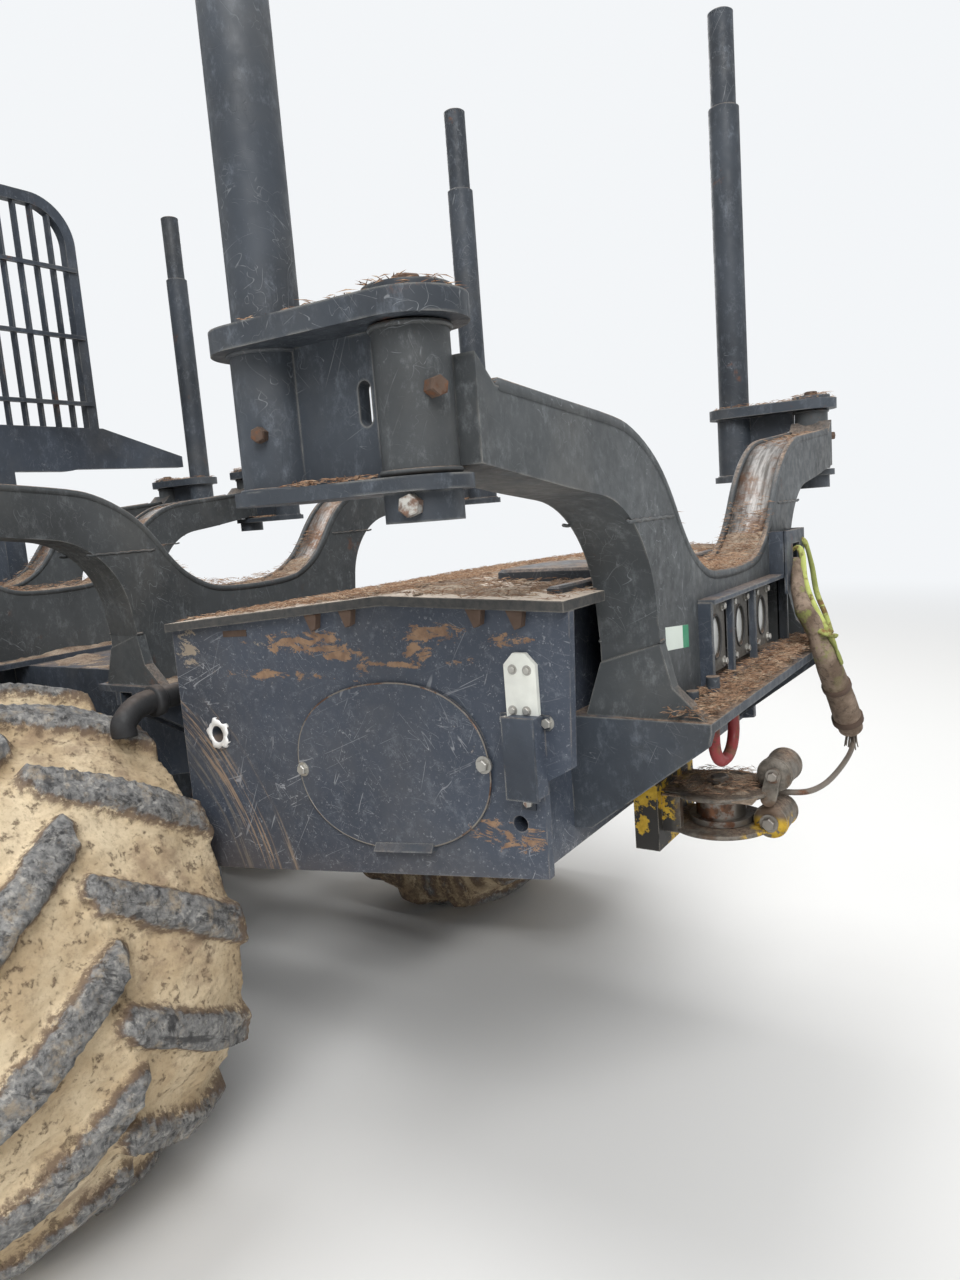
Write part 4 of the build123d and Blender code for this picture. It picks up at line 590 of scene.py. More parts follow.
window_glass = clear_glass("tinted_window", (0.04, 0.06, 0.06), 0.24)
lens_glass = clear_glass("lamp_lens", (0.55, 0.56, 0.55), 0.85)

NODES_OF_FINISH = (
    (frame_paint, "rear_frame front_frame front_mudguards rear_bogies front_bogies gate"),
    (plate_paint, "tail_carrier"),
    (box_paint, "winch_box"),
    (roof_paint, "winch_roof"),
    (cast_paint, "bunks"),
    (fairlead_steel, "fairlead"),
    (bare_steel, "fairlead_sheave"),
    (sleeve, "rope_fitting"),
    (hook_red, "tow_hook"),
    (lamp_face, "rear_lamps"),
    (lamp_black, "work_lamps"),
    (panel_paint, "cab cab_door hood"),
    (window_glass, "cab_glass door_glass"),
    (seat_cloth, "operator_seat"),
    (engine_iron, "engine"),
    (crane_paint, "crane_pillar lift_boom jib telescope hanger grapple_head claw_left claw_right"),
    (cylinder_black, "steering_cylinders lift_barrel jib_barrel grapple_barrel"),
    (rod_chrome, "steering_rod_left steering_rod_right lift_rod jib_rod grapple_rod"),
)
CAD_FINISHES = {node: finish for finish, names in NODES_OF_FINISH for node in names.split()}
for node, thing in frame["nodes"].items():
    thing.data.materials.clear()
    thing.data.materials.append(CAD_FINISHES.get(node, plate_paint))


# Pieces
def new_piece(name, points, faces, finish, body, smooth=True):
    """Make a mesh from an array of points and a list of faces, and let it ride on a body."""
    mesh = bpy.data.meshes.new(name)
    mesh.from_pydata(np.asarray(points, float).tolist(), [], [[int(i) for i in f] for f in faces])
    mesh.materials.append(finish)
    if smooth:
        mesh.shade_smooth()
    mesh.validate()
    shell = bmesh.new()
    shell.from_mesh(mesh)
    bmesh.ops.recalc_face_normals(shell, faces=shell.faces)
    shell.to_mesh(mesh)
    shell.free()
    piece = bpy.data.objects.new(name, mesh)
    bpy.context.scene.collection.objects.link(piece)
    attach(piece, body)
    return piece


def grid_faces(rows, columns, wrap_rows=False, wrap_columns=False):
    """Return the quads of a grid of points, row by row, closed round where asked."""
    i = np.arange(rows if wrap_rows else rows - 1)
    j = np.arange(columns if wrap_columns else columns - 1)
    a, b = (m.ravel() for m in np.meshgrid(i, j, indexing="ij"))
    c, d = (a + 1) % rows, (b + 1) % columns
    return np.stack([a * columns + b, c * columns + b, c * columns + d, a * columns + d], 1)


def joined(parts):
    """Join several point and face arrays into one pair."""
    points, faces, base = [], [], 0
    for part_points, part_faces in parts:
        points.append(np.asarray(part_points, float))
        faces += [tuple(int(i) + base for i in f) for f in part_faces]
        base += len(part_points)
    return np.concatenate(points), faces


def flat_piece(name, parts, finish, body):
    """Make one flat-shaded piece of several parts."""
    return new_piece(name, *joined(parts), finish, body, smooth=False)


def level_ring(x, y, z, radius, count):
    """Return a level circle's points: (x + r cos a, y + r sin a, z), the last on the first."""
    turn = np.linspace(0, 2 * pi, count)
    return np.stack([x + radius * np.cos(turn), y + radius * np.sin(turn), 0 * turn + z], 1)


def turned_solid(profile, count, start, axis, up=(0.3, 0.2, 0.9)):
    """Turn a profile of distances along an axis and radii once round it: point = start + d axis + r circle."""
    axis = np.array(axis, float) / np.linalg.norm(axis)
    side = np.cross(axis, up)
    side /= np.linalg.norm(side)
    other = np.cross(axis, side)
    angle = np.arange(count) * 2 * pi / count
    ring = np.cos(angle)[:, None] * side + np.sin(angle)[:, None] * other
    profile = np.array(profile, float)
    points = np.array(start) + profile[:, 0, None, None] * axis + profile[:, 1, None, None] * ring
    faces = [tuple(f[::-1]) for f in grid_faces(len(profile), count, wrap_columns=True)]
    ends = [tuple(range(count)), tuple(range((len(profile) - 1) * count, len(profile) * count))[::-1]]
    return points.reshape(-1, 3), faces + ends


def hexagon_bolt(at, axis, across, rise, washer=True):
    """A chamfered six-sided head standing on a face, over a washer or straight on it."""
    r = across / 2 / cos(pi / 6)
    head = turned_solid([(-0.004, r), (rise * 0.85, r), (rise, r * 0.86)], 6, at, axis)
    if not washer:
        return [head]
    return [turned_solid([(-0.002, r * 1.4), (rise * 0.22, r * 1.4), (rise * 0.22, r * 0.6)], 20, at, axis), head]


def box_of(low, high, chamfer=0.0):
    """A box between two corners, its upper edges drawn in by a chamfer."""
    (x0, y0, z0), (x1, y1, z1) = low, high
    c = chamfer
    points = [
        (x0, y0, z0), (x1, y0, z0), (x1, y1, z0), (x0, y1, z0),
        (x0, y0, z1 - c), (x1, y0, z1 - c), (x1, y1, z1 - c), (x0, y1, z1 - c),
        (x0 + c, y0 + c, z1), (x1 - c, y0 + c, z1), (x1 - c, y1 - c, z1), (x0 + c, y1 - c, z1),
    ]
    faces = [(3, 2, 1, 0), (8, 9, 10, 11)]
    for base in (0, 4):
        faces += [(base + k, base + (k + 1) % 4, base + 4 + (k + 1) % 4, base + 4 + k) for k in range(4)]
    return points, faces


def smooth_path(points, samples=8):
    """Curve through points: 0.5 (2b + (c - a) t + (2a - 5b + 4c - d) t^2 + (3b - a - 3c + d) t^3)."""
    p = np.array(points, float)
    p = np.concatenate([[2 * p[0] - p[1]], p, [2 * p[-1] - p[-2]]])
    a, b, c, d = (p[k : len(p) - 3 + k, None, :] for k in range(4))
    t = np.arange(samples)[None, :, None] / samples
    curve = 0.5 * (2 * b + (c - a) * t + (2 * a - 5 * b + 4 * c - d) * t**2 + (3 * b - a - 3 * c + d) * t**3)
    return np.concatenate([curve.reshape(-1, p.shape[1]), p[-2:-1]])


def tube(points, radius, count=10, samples=8, up=(0.31, 0.52, 0.79), flat=1.0):
    """A closed round or flattened bar along a smooth path: centre + r (cos u side + flat sin u other)."""
    line = smooth_path(points, samples) if samples else np.array(points, float)
    ahead = np.gradient(line, axis=0)
    ahead /= np.linalg.norm(ahead, axis=1)[:, None]
    side = np.cross(ahead, up)
    side /= np.linalg.norm(side, axis=1)[:, None]
    other = np.cross(ahead, side)
    radius = np.interp(np.linspace(0, 1, len(line)), np.linspace(0, 1, np.size(radius)), np.ravel(radius))
    angle = (np.arange(count) * 2 * pi / count)[None, :, None]
    ring = np.cos(angle) * side[:, None] + flat * np.sin(angle) * other[:, None]
    points = line[:, None] + radius[:, None, None] * ring
    faces = [tuple(f[::-1]) for f in grid_faces(len(line), count, wrap_columns=True)]
    last = (len(line) - 1) * count
    ends = [tuple(range(count)), tuple(range(last, last + count))[::-1]]
    return points.reshape(-1, 3), faces + ends


def slab_of(outline, low, high, axis="y"):
    """A flat plate: an outline drawn across one axis, between two places along it."""
    outline = np.array(outline, float)
    place = {"x": lambda v: np.insert(outline, 0, v, 1), "y": lambda v: np.insert(outline, 1, v, 1),
             "z": lambda v: np.insert(outline, 2, v, 1)}[axis]
    points = np.concatenate([place(low), place(high)])
    count = len(outline)
    area = np.sum(outline[:, 0] * np.roll(outline[:, 1], -1) - np.roll(outline[:, 0], -1) * outline[:, 1])
    ahead = list(range(count))
    turn_out = (area > 0) != (axis == "y")
    faces = [ahead[::-1] if turn_out else ahead, [k + count for k in (ahead if turn_out else ahead[::-1])]]
    for k in range(count):
        quad = [k, (k + 1) % count, (k + 1) % count + count, k + count]
        faces.append(quad if turn_out else quad[::-1])
    return points, faces


def ripple(x, y, seed, scale):
    """Smooth noise between about -1 and 1: the mean of waves in scattered directions and lengths."""
    waves = np.random.default_rng(seed)
    turn = waves.uniform(0, 2 * pi, 18)
    pace = waves.uniform(0.5, 2.6, 18) * scale
    start = waves.uniform(0, 2 * pi, 18)
    shape = np.sin(pace * (np.cos(turn) * x[..., None] + np.sin(turn) * y[..., None]) + start)
    return shape.sum(-1) / 18**0.5 / 0.9


def duff_bed(name, low, high, floor, body, thick, seed, step=0.012, inside=None, bare=0.0):
    """A bed of litter: z = floor(x, y) + thick (noise + 1)/2, sunk below the floor where it thins out."""
    rows, columns = (max(6, int((b - a) / step)) for a, b in zip(low, high))
    x, y = np.meshgrid(np.linspace(low[0], high[0], rows), np.linspace(low[1], high[1], columns), indexing="ij")
    noise = 0.65 * ripple(x, y, seed, 14) + 0.35 * ripple(x, y, seed + 1, 60) - bare
    edge = np.minimum.reduce([x - low[0], high[0] - x, y - low[1], high[1] - y])
    share = np.clip(noise * 0.5 + 0.5, 0, 1) * np.clip(edge / 0.03, 0, 1) ** 0.5
    if inside is not None:
        share = share * np.clip(inside(x, y), 0, 1)
    base = floor(x, y)
    top = np.stack([x, y, base - 0.004 + thick * share + 0.0015 * ripple(x, y, seed + 2, 260) * (share > 0.2)], -1)
    bottom = np.stack([x, y, base - 0.008], -1)
    sheet = grid_faces(rows, columns)
    count = rows * columns
    around = np.concatenate([
        np.arange(columns), np.arange(1, rows) * columns + columns - 1,
        (rows - 1) * columns + np.arange(columns - 2, -1, -1), np.arange(rows - 2, 0, -1) * columns,
    ])
    after = np.roll(around, -1)
    wall = np.stack([around, after, after + count, around + count], 1)
    faces = [tuple(f) for f in sheet] + [tuple(f[::-1] + count) for f in sheet] + [tuple(f) for f in wall]
    return new_piece(name, np.concatenate([top.reshape(-1, 3), bottom.reshape(-1, 3)]), faces, litter, body)


def strew(name, x, y, z, body, longest=0.045, lift=0.004, thin=0.0009, finish=None):
    """Needles, each a three-sided spindle: two tips along its length and three points round its middle."""
    count = len(x)
    heading = rng.uniform(0, 2 * pi, count)
    tilt = rng.normal(0, 0.16, count)
    ahead = np.stack([np.cos(heading) * np.cos(tilt), np.sin(heading) * np.cos(tilt), np.sin(tilt)], 1)
    half = rng.uniform(0.35, 1, count)[:, None] * longest / 2
    middle = np.stack([x, y, z + rng.uniform(0, lift, count)], 1)
    side = np.stack([-np.sin(heading), np.cos(heading), np.zeros(count)], 1)
    above = np.cross(ahead, side)
    bend = middle + above * half * rng.uniform(0, 0.12, count)[:, None]
    thirds = (pi / 2, pi / 2 + 2 * pi / 3, pi / 2 + 4 * pi / 3)
    ring = [bend + thin * (cos(a) * side + sin(a) * above) for a in thirds]
    points = np.stack([middle - ahead * half, middle + ahead * half, *ring], 1)
    base = np.arange(count)[:, None, None] * 5
    pattern = np.array([(0, 3, 2), (0, 4, 3), (0, 2, 4), (1, 2, 3), (1, 3, 4), (1, 4, 2)])
    faces = (pattern[None] + base).reshape(-1, 3)
    return new_piece(name, points.reshape(-1, 3), faces, finish or needles, body, False)


def bark_chips(name, x, y, z, body, size=0.02):
    """Crumbs of bark and leaf: thin curled four-cornered flakes, closed with a back face."""
    count = len(x)
    turn = rng.uniform(0, 2 * pi, count)
    scale = size * rng.uniform(0.15, 1, count) ** 1.6
    corner = np.array([(-1, -0.5), (1, -0.4), (0.9, 0.5), (-0.8, 0.55)])
    wide = np.stack([np.cos(turn), np.sin(turn)], 1)[:, None] * corner[None, :, :1]
    deep = np.stack([-np.sin(turn), np.cos(turn)], 1)[:, None] * corner[None, :, 1:]
    flat = (wide + deep) * scale[:, None, None]
    curl = rng.uniform(0, 0.5, (count, 4)) * scale[:, None]
    middle = np.stack([x, y, z], 1)[:, None]
    top = middle + np.concatenate([flat, curl[..., None] + 0.002], -1)
    bottom = middle + np.concatenate([flat * 0.96, curl[..., None] - 0.0005], -1)
    points = np.concatenate([top, bottom], 1)
    pattern = np.array([(0, 1, 2, 3), (7, 6, 5, 4), (0, 4, 5, 1), (1, 5, 6, 2), (2, 6, 7, 3), (3, 7, 4, 0)])
    faces = (pattern[None] + np.arange(count)[:, None, None] * 8).reshape(-1, 4)
    return new_piece(name, points.reshape(-1, 3), faces, litter, body, False)


def tyre_points(middle, side, around, across):
    """Tyre skin on a grid of angle and place along the section.

    The section is a closed loop: bead, bulged sidewall, shoulder, tread, and the same back to the
    other bead and through the bore. Radius = carcass radius + lug depth x mask, where a lug's mask
    is a soft step of the angle from the lug's own swept middle line, times a soft step at its nose
    by the middle of the tread; each half has its own row of lugs, half a pitch apart.
    """
    station = np.array([0, 0.10, 0.20, 0.30, 0.38, 0.46, 0.54, 0.78, 1.0])
    wall_y = np.array([0.300, 0.322, 0.350, 0.357, 0.356, 0.350, 0.338, 0.20, 0.0])
    wall_r = np.array([0.345, 0.375, 0.430, 0.490, 0.530, 0.560, 0.583, 0.616, 0.620])
    t = np.linspace(0, 1, across)
    y_half, r_half = np.interp(t, station, wall_y), np.interp(t, station, wall_r)
    y = np.concatenate([y_half, -y_half[::-1]])
    r = np.concatenate([r_half, r_half[::-1]])
    angle = np.arange(around) * 2 * pi / around
    depth = np.interp(r, [0.535, 0.570, 0.60, 0.620], [0.0, 0.036, 0.046, 0.0488])
    turn, flat = np.degrees(angle)[:, None], y[None]
    pitch = 360 / LUGS
    wave = ripple(np.radians(turn) * 0.62 + 0 * flat, flat + 0 * turn, 31, 38)
    chips = ripple(np.radians(turn) * 0.62 + 0 * flat, flat + 0 * turn, 57, 120)
    mask = np.zeros_like(wave)
    for half, phase in ((1, 0), (-1, pitch / 2)):
        reach = half * flat
        share = np.interp(reach, [-0.05, 0, 0.256, 0.355], [-0.12, 0, 0.74, 1.0])
        width = np.interp(reach, [-0.04, 0.0, 0.06, 0.28, 0.345, 0.357], [1.6, 2.9, 3.3, 3.3, 3.9, 4.3])
        off = (turn + 90 - phase - share * 20 + pitch / 2) % pitch - pitch / 2
        flank = 1 - np.clip((np.abs(off) - width + 0.30 * wave + 0.16 * chips) / 2.3, 0, 1)
        nose = np.clip((reach + 0.034 + 0.002 * wave - 0.0012 * off**2) / 0.020, 0, 1)
        lug = (flank * flank * (3 - 2 * flank)) * (nose * nose * (3 - 2 * nose))
        mask = np.maximum(mask, lug)
    worn = 0.0022 * wave + 0.0016 * chips
    caked = 0.005 * (1 - mask) * (ripple(np.radians(turn) * 0.62 + 0 * flat, flat + 0 * turn, 77, 17) + 0.4)
    lugged = depth[None] > 0.02
    radius = r[None] + depth[None] * mask - 0.003 * mask + worn * lugged + caked * lugged
    loop_y = np.concatenate([y, [-0.300, 0.300]])
    radius = np.concatenate([radius, np.full((around, 2), 0.3373)], 1)
    radius = np.minimum(radius, 0.6697)
    tread = np.interp(r, [0.575, 0.60], [0.0, 1.0])
    mud = 1 - mask * (0.35 + 0.65 * tread[None])
    wall = np.clip((0.60 - r) / 0.06, 0, 1)[None]
    mud = mud * (1 - wall) + wall * (0.62 + 0.2 * wave)
    mud = np.concatenate([mud, np.ones((around, 2))], 1)
    points = np.stack([
        middle[0] + radius * np.cos(angle)[:, None],
        middle[1] + side * np.broadcast_to(loop_y[None], radius.shape),
        middle[2] + radius * np.sin(angle)[:, None],
    ], -1)
    return points.reshape(-1, 3), mud.ravel(), len(loop_y)


# Sections of a rim, as distance out from the wheel's middle and radius
RIM_FACE = [
    (-0.315, 0.3365), (-0.321, 0.357), (-0.305, 0.357), (-0.300, 0.337), (0.300, 0.337), (0.305, 0.357),
    (0.321, 0.357), (0.315, 0.318), (0.20, 0.312), (0.12, 0.300), (0.055, 0.262), (0.045, 0.205), (0.060, 0.165),
    (0.150, 0.160), (0.150, 0.125), (0.165, 0.118), (0.165, 0.03),
]
RIM_BACK = [
    (-0.4097, 0.03), (-0.4097, 0.130), (-0.04, 0.140), (0.010, 0.300), (-0.18, 0.316), (-0.315, 0.318), RIM_FACE[0],
]
NEAR_GRID, FAR_GRID = (980, 44), (504, 24)
NUTS, NUT_CIRCLE = 10, 0.20

for name, x, side in WHEELS:
    around, across = NEAR_GRID if name == "rear_left_trailing" else FAR_GRID
    points, mud, columns = tyre_points((x, side * TRACK_Y, AXLE_Z), side, around, across)
    faces = grid_faces(around, columns, wrap_rows=True, wrap_columns=True)
    if side == 1:
        faces = faces[:, ::-1]
    tyre = new_piece("tyre_" + name, points, faces, tyre_rubber, "wheel_" + name)
    layer = tyre.data.attributes.new("mud", "FLOAT", "POINT")
    layer.data.foreach_set("value", mud.astype(np.float32))
    hub = (x, side * TRACK_Y, AXLE_Z)
    out = (0, side, 0)
    nuts = []
    for k in range(NUTS):
        a = 2 * pi * (k + 0.5) / NUTS
        seat = (x + NUT_CIRCLE * cos(a), side * (TRACK_Y + 0.046), AXLE_Z + NUT_CIRCLE * sin(a))
        nuts += hexagon_bolt(seat, out, 0.030, 0.028)
    face, rear = turned_solid(RIM_FACE, 72, hub, out), turned_solid(RIM_BACK, 72, hub, out)
    new_piece("rim_" + name, *joined([face, rear]), rim_paint, "wheel_" + name)
    flat_piece("wheel_nuts_" + name, nuts, bolt_steel, "wheel_" + name)
    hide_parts("wheel_" + name)


# Box side: bolts, latch, guard, the bright torn ring round the hole, and the cover's lip
def cover_spot(along, rise):
    """Return X and Z of a point given along and above the cover's own axes."""
    x = COVER_MIDDLE[0] - along * cos(COVER_TILT) + rise * sin(COVER_TILT)
    return x, COVER_MIDDLE[1] + along * sin(COVER_TILT) + rise * cos(COVER_TILT)


side_bolts = []
for x, z, out, across, rise in (
    (-3.666, 1.131, 0.008, 0.020, 0.012), (-4.151, 1.185, 0.008, 0.022, 0.013), (-4.205, 1.277, 0, 0.017, 0.011),
    (-4.294, 1.276, 0, 0.017, 0.011), (-4.243, 1.119, 0, 0.017, 0.011), (-4.232, 1.376, 0.010, 0.012, 0.006),
    (-4.263, 1.375, 0.010, 0.012, 0.006), (-4.227, 1.298, 0.010, 0.012, 0.006), (-4.257, 1.298, 0.010, 0.012, 0.006),
):
    side_bolts += hexagon_bolt((x, BOX_SIDE_Y + out, z), (0, 1, 0), across, rise)
flat_piece("box_side_bolts", side_bolts, bolt_steel, "rear_body")

latch = [(-4.281, 1.279), (-4.213, 1.279), (-4.213, 1.385), (-4.234, 1.407), (-4.260, 1.407), (-4.281, 1.385)]
latch = slab_of(latch, BOX_SIDE_Y + 0.0005, BOX_SIDE_Y + 0.0106)
new_piece("latch_plate", *latch, pale_plate, "rear_body", smooth=False)

guard_ends = [
    slab_of([(-4.300, 1.262), (-4.194, 1.262), (-4.194, 1.290), (-4.300, 1.290)], BOX_SIDE_Y, BOX_SIDE_Y + 0.004),
    slab_of([(-4.258, 1.104), (-4.228, 1.104), (-4.228, 1.142), (-4.258, 1.142)], BOX_SIDE_Y, BOX_SIDE_Y + 0.004),
    slab_of([(-4.289, 1.135), (-4.221, 1.135), (-4.221, 1.293), (-4.289, 1.293)],
            BOX_SIDE_Y + 0.043, BOX_SIDE_Y + 0.047),
]
flat_piece("latch_guard_trim", guard_ends, frame_paint, "rear_body")

# The torn ring's radius wavers: 36 mm + 3.5 mm sin(5 a + 1) + 2 mm sin(11 a)
angle = np.arange(40) * 2 * pi / 40
torn = 0.036 + 0.0035 * np.sin(angle * 5 + 1) + 0.002 * np.sin(angle * 11)
ring = np.stack([
    np.stack([HOLE[0] + r * np.cos(angle), np.full(40, BOX_SIDE_Y + y), HOLE[1] + r * np.sin(angle)], 1)
    for r, y in ((0.0205, -0.004), (0.0205, 0.0085), (torn * 0.86, 0.0085), (torn, 0.0062), (torn, -0.004))
])
new_piece("bright_hole_ring", ring.reshape(-1, 3), grid_faces(5, 40, True, True), bright_ring, "rear_body")

lip = []
for k, (rise, out) in enumerate(((-0.164, 0.0085), (-0.180, 0.022))):
    lip.append([(*cover_spot(a, rise), out) for a in (-0.071, 0.085)])
(ax, az, ao), (bx, bz, bo) = lip[0]
(cx, cz, co), (dx, dz, do) = lip[1]
y = BOX_SIDE_Y
lip_points = [
    (ax, y, az), (bx, y, bz), (dx, y, dz), (cx, y, cz),
    (ax, y + ao, az), (bx, y + bo, bz), (dx, y + do, dz), (cx, y + co, cz),
]
lip_faces = [(0, 1, 2, 3), (7, 6, 5, 4), (4, 5, 1, 0), (5, 6, 2, 1), (6, 7, 3, 2), (7, 4, 0, 3)]
new_piece("cover_lip", lip_points, lip_faces, plate_paint, "rear_body", smooth=False)

# A thin rubbed rim round the cover: |along / half length| ** 2.25 + |rise / half height| ** 2.25 = 1
turn = np.linspace(0, 2 * pi, 121)
half_length, half_height, share = 0.2555, 0.1765, 2 / 2.25
along = half_length * np.sign(np.cos(turn)) * np.abs(np.cos(turn)) ** share
rise = half_height * np.sign(np.sin(turn)) * np.abs(np.sin(turn)) ** share
rim_line = np.stack([cover_spot(a, b) for a, b in zip(along, rise)])
rim_line = np.insert(rim_line, 1, BOX_SIDE_Y + 0.0068, 1)
rim_line = rim_line[:-1].tolist() + rim_line[:1].tolist()
new_piece("cover_rim", *tube(rim_line, 0.0020, 6, 0, up=(0, 1, 0)), bare_steel, "rear_body")

# Under the roof's edge: hooks, and a dark strip of painted shade where the front slot opens
hooks = []
for x in (-3.739, -3.838, -4.158, -4.247):
    z = 1.438 + 0.060 * (-3.260 - x) / 0.678 if x > -3.938 else 1.498 - 0.036 * (-3.938 - x)
    hooks.append(slab_of([(x + 0.018, z), (x - 0.018, z), (x - 0.013, z - 0.030), (x + 0.001, z - 0.036)],
                         BOX_SIDE_Y, BOX_SIDE_Y + 0.016))
# Painted shade: a thin dark sheet in rusty iron stands for the shaded opening of the front slot
strip = [(-3.444, 1.440), (-3.522, 1.444), (-3.522, 1.429), (-3.444, 1.426)]
hooks.append(slab_of(strip, BOX_SIDE_Y, BOX_SIDE_Y + 0.0015))
flat_piece("roof_hooks", hooks, rusty_iron, "rear_body")


def roof_top(x, y=None):
    """Return the height of the box roof's upper face, which rises to a ridge and falls a little behind it."""
    ahead = 1.458 + (-3.260 - x) * 0.060 / 0.678
    return np.where(x > -3.938, ahead, 1.518 - 0.036 * (-3.938 - x))


hatch = box_of((-4.263, 0.157, 1.506), (-4.032, 0.395, 1.538), 0.006)
new_piece("roof_hatch", *hatch, plate_paint, "rear_body", smooth=False)
bar = box_of((-4.292, -0.60, 1.500), (-4.266, 0.60, 1.519), 0.004)
new_piece("roof_hinge_bar", *bar, plate_paint, "rear_body", smooth=False)

# Bunks: raised rims that make the load side a channel, and weld beads
BUNK_LINE = np.array([
    (0.0, 1.483), (0.150, 1.490), (0.225, 1.513), (0.290, 1.553), (0.340, 1.604), (0.385, 1.662), (0.433, 1.712),
    (0.490, 1.752), (0.562, 1.785), (0.640, 1.802), (0.830, 1.820), (1.010, 1.837),
])


def bunk_path():
    """Return the load side of a bunk as points Y, Z from one tip to the other, and its upward normals."""
    line = np.concatenate([BUNK_LINE[::-1] * (-1, 1), BUNK_LINE[1:]])
    line = smooth_path(line, 3)
    ahead = np.gradient(line, axis=0)
    ahead /= np.linalg.norm(ahead, axis=1)[:, None]
    return line, np.stack([-ahead[:, 1], ahead[:, 0]], 1)


def along_bunk(section):
    """Sweep a section of X and rise along the load side: point = (x, path + rise normal)."""
    line, normal = bunk_path()
    section = np.array(section, float)
    flat = line[:, None] + section[None, :, 1:] * normal[:, None]
    x = np.broadcast_to(section[None, :, :1], (*flat.shape[:2], 1))
    points = np.concatenate([x, flat], -1).reshape(-1, 3)
    count = len(section)
    faces = [tuple(f) for f in grid_faces(len(line), count, wrap_columns=True)]
    last = (len(line) - 1) * count
    return points, faces + [tuple(range(count))[::-1], tuple(range(last, last + count))]


def bracket_pivot(x, reach):
    """Return X of the stake brackets' pivots on a bunk, by the way its brackets reach."""
    return x + (HUB_SET if reach == 1 else BUNK_DEPTH - HUB_SET)


for number, (x, reach) in enumerate(zip(BUNK_X, BUNK_REACH), start=1):
    rims = []
    for low in (x - 0.0015, x + BUNK_DEPTH - 0.0165):
        rims.append(along_bunk([(low, -0.006), (low + 0.018, -0.006), (low + 0.0165, 0.0095), (low + 0.014, 0.012),
                                (low + 0.004, 0.012), (low + 0.0015, 0.0095)]))
    new_piece(f"bunk_rims_{number}", *joined(rims), cast_paint, "rear_body")
    floor = along_bunk([(x + 0.014, -0.004), (x + BUNK_DEPTH - 0.014, -0.004), (x + BUNK_DEPTH - 0.014, 0.0015),
                        (x + 0.014, 0.0015)])
    new_piece(f"bunk_floor_{number}", *floor, worn_channel, "rear_body")
    beads = []
    for side in (1, -1):
        for face_x in (x, x + BUNK_DEPTH):
            for z, inner, outer in ((1.396, 0.462, 0.481), (1.632, 0.385, 0.606)):
                ends = [
                    (face_x, side * (inner + (outer - inner) * k / 12), z + 0.0012 * (-1) ** k) for k in range(13)
                ]
                beads.append(tube(ends, 0.0035, 6, 2, up=(0, 0, 1)))
        pivot_x = bracket_pivot(x, reach)
        for z in (1.728, 1.912):
            beads.append(tube(level_ring(pivot_x, side * PIVOT_Y, z, 0.053, 40), 0.004, 6, 0, up=(0, 0, 1)))
    new_piece(f"bunk_welds_{number}", *joined(beads), cast_paint, "rear_body")

for number, (x, reach) in enumerate(zip(BUNK_X, BUNK_REACH), start=1):
    for side, side_name in SIDES:
        body = f"stake_bracket_{number}_{side_name}"
        pivot_x = bracket_pivot(x, reach)
        stake_x = pivot_x + reach * BRACKET_SPAN
        facing = (-0.25 * reach, 0.97 * side, 0)
        place = (pivot_x - 0.02 * reach, side * (PIVOT_Y + 0.0535), 1.684)
        pieces = hexagon_bolt(place, facing, 0.026, 0.018, False)
        flat_piece(f"disc_bolt_{number}_{side_name}", pieces, bolt_steel, body)
        facing = (-0.36 * reach, 0.93 * side, 0)
        place = (stake_x - 0.021 * reach, side * (PIVOT_Y + 0.054), 1.800)
        pieces = hexagon_bolt(place, facing, 0.020, 0.016, False)
        pieces += hexagon_bolt((pivot_x, side * PIVOT_Y, 1.9628), (0, 0, 1), 0.036, 0.016)
        flat_piece(f"stake_bolt_{number}_{side_name}", pieces, rusty_iron, body)
        rolls = []
        for z, r in ((1.7225, 0.058), (1.9175, 0.058), (1.9512, 0.050), (2.930, 0.0415)):
            rolls.append(tube(level_ring(stake_x, side * PIVOT_Y, z, r + 0.001, 36), 0.0045, 6, 0, up=(0, 0, 1)))
        cap = turned_solid([(-0.004, 0.041), (0.004, 0.0415), (0.008, 0.036), (0.008, 0.01)], 28,
                           (stake_x, side * PIVOT_Y, 3.220), (0, 0, 1))
        new_piece(f"stake_welds_{number}_{side_name}", *joined(rolls + [cap]), plate_paint, body)
        facing = (-0.88 * reach, 0.46 * side, 0)
        place = (pivot_x - 0.046 * reach, side * (PIVOT_Y + 0.024), 1.830)
        hub_bolt = hexagon_bolt(place, facing, 0.024, 0.022, False)
        flat_piece(f"hub_bolt_{number}_{side_name}", hub_bolt, rusty_iron, "rear_body")

# Rear lamps: lenses, rims and bolts; a blank label on the bunk's leg
lenses, rims, screws = [], [], []
turn = np.arange(40) * 2 * pi / 40
spread = np.stack([np.cos(turn), np.sin(turn)], 1)
middle_z = 1.3615
for y in (0.194, 0.022, -0.155):
    profile = ((-4.4440, 0.2), (-4.4440, 1.0), (-4.4475, 1.0), (-4.4490, 0.85), (-4.4502, 0.6), (-4.4510, 0.2))
    rounds = [
        np.stack([np.full(40, x), y + 0.0315 * k * spread[:, 0], middle_z + 0.046 * k * spread[:, 1]], 1)
        for x, k in profile
    ]
    lens_faces = [tuple(f) for f in grid_faces(6, 40, wrap_columns=True)]
    lens_faces += [tuple(range(40)), tuple(range(200, 240))]
    lenses.append((np.concatenate(rounds), lens_faces))
    loop = np.stack([np.full(41, -4.4525), y + 0.0335 * np.cos(np.linspace(0, 2 * pi, 41)),
                     middle_z + 0.048 * np.sin(np.linspace(0, 2 * pi, 41))], 1)
    rims.append(tube(loop, 0.0028, 6, 0, up=(1, 0, 0)))
    for dy, dz in ((-0.048, 0.062), (0.048, 0.062), (-0.048, -0.062), (0.048, -0.062)):
        screws += hexagon_bolt((-4.452, y + dy, middle_z + dz), (-1, 0, 0), 0.014, 0.009)
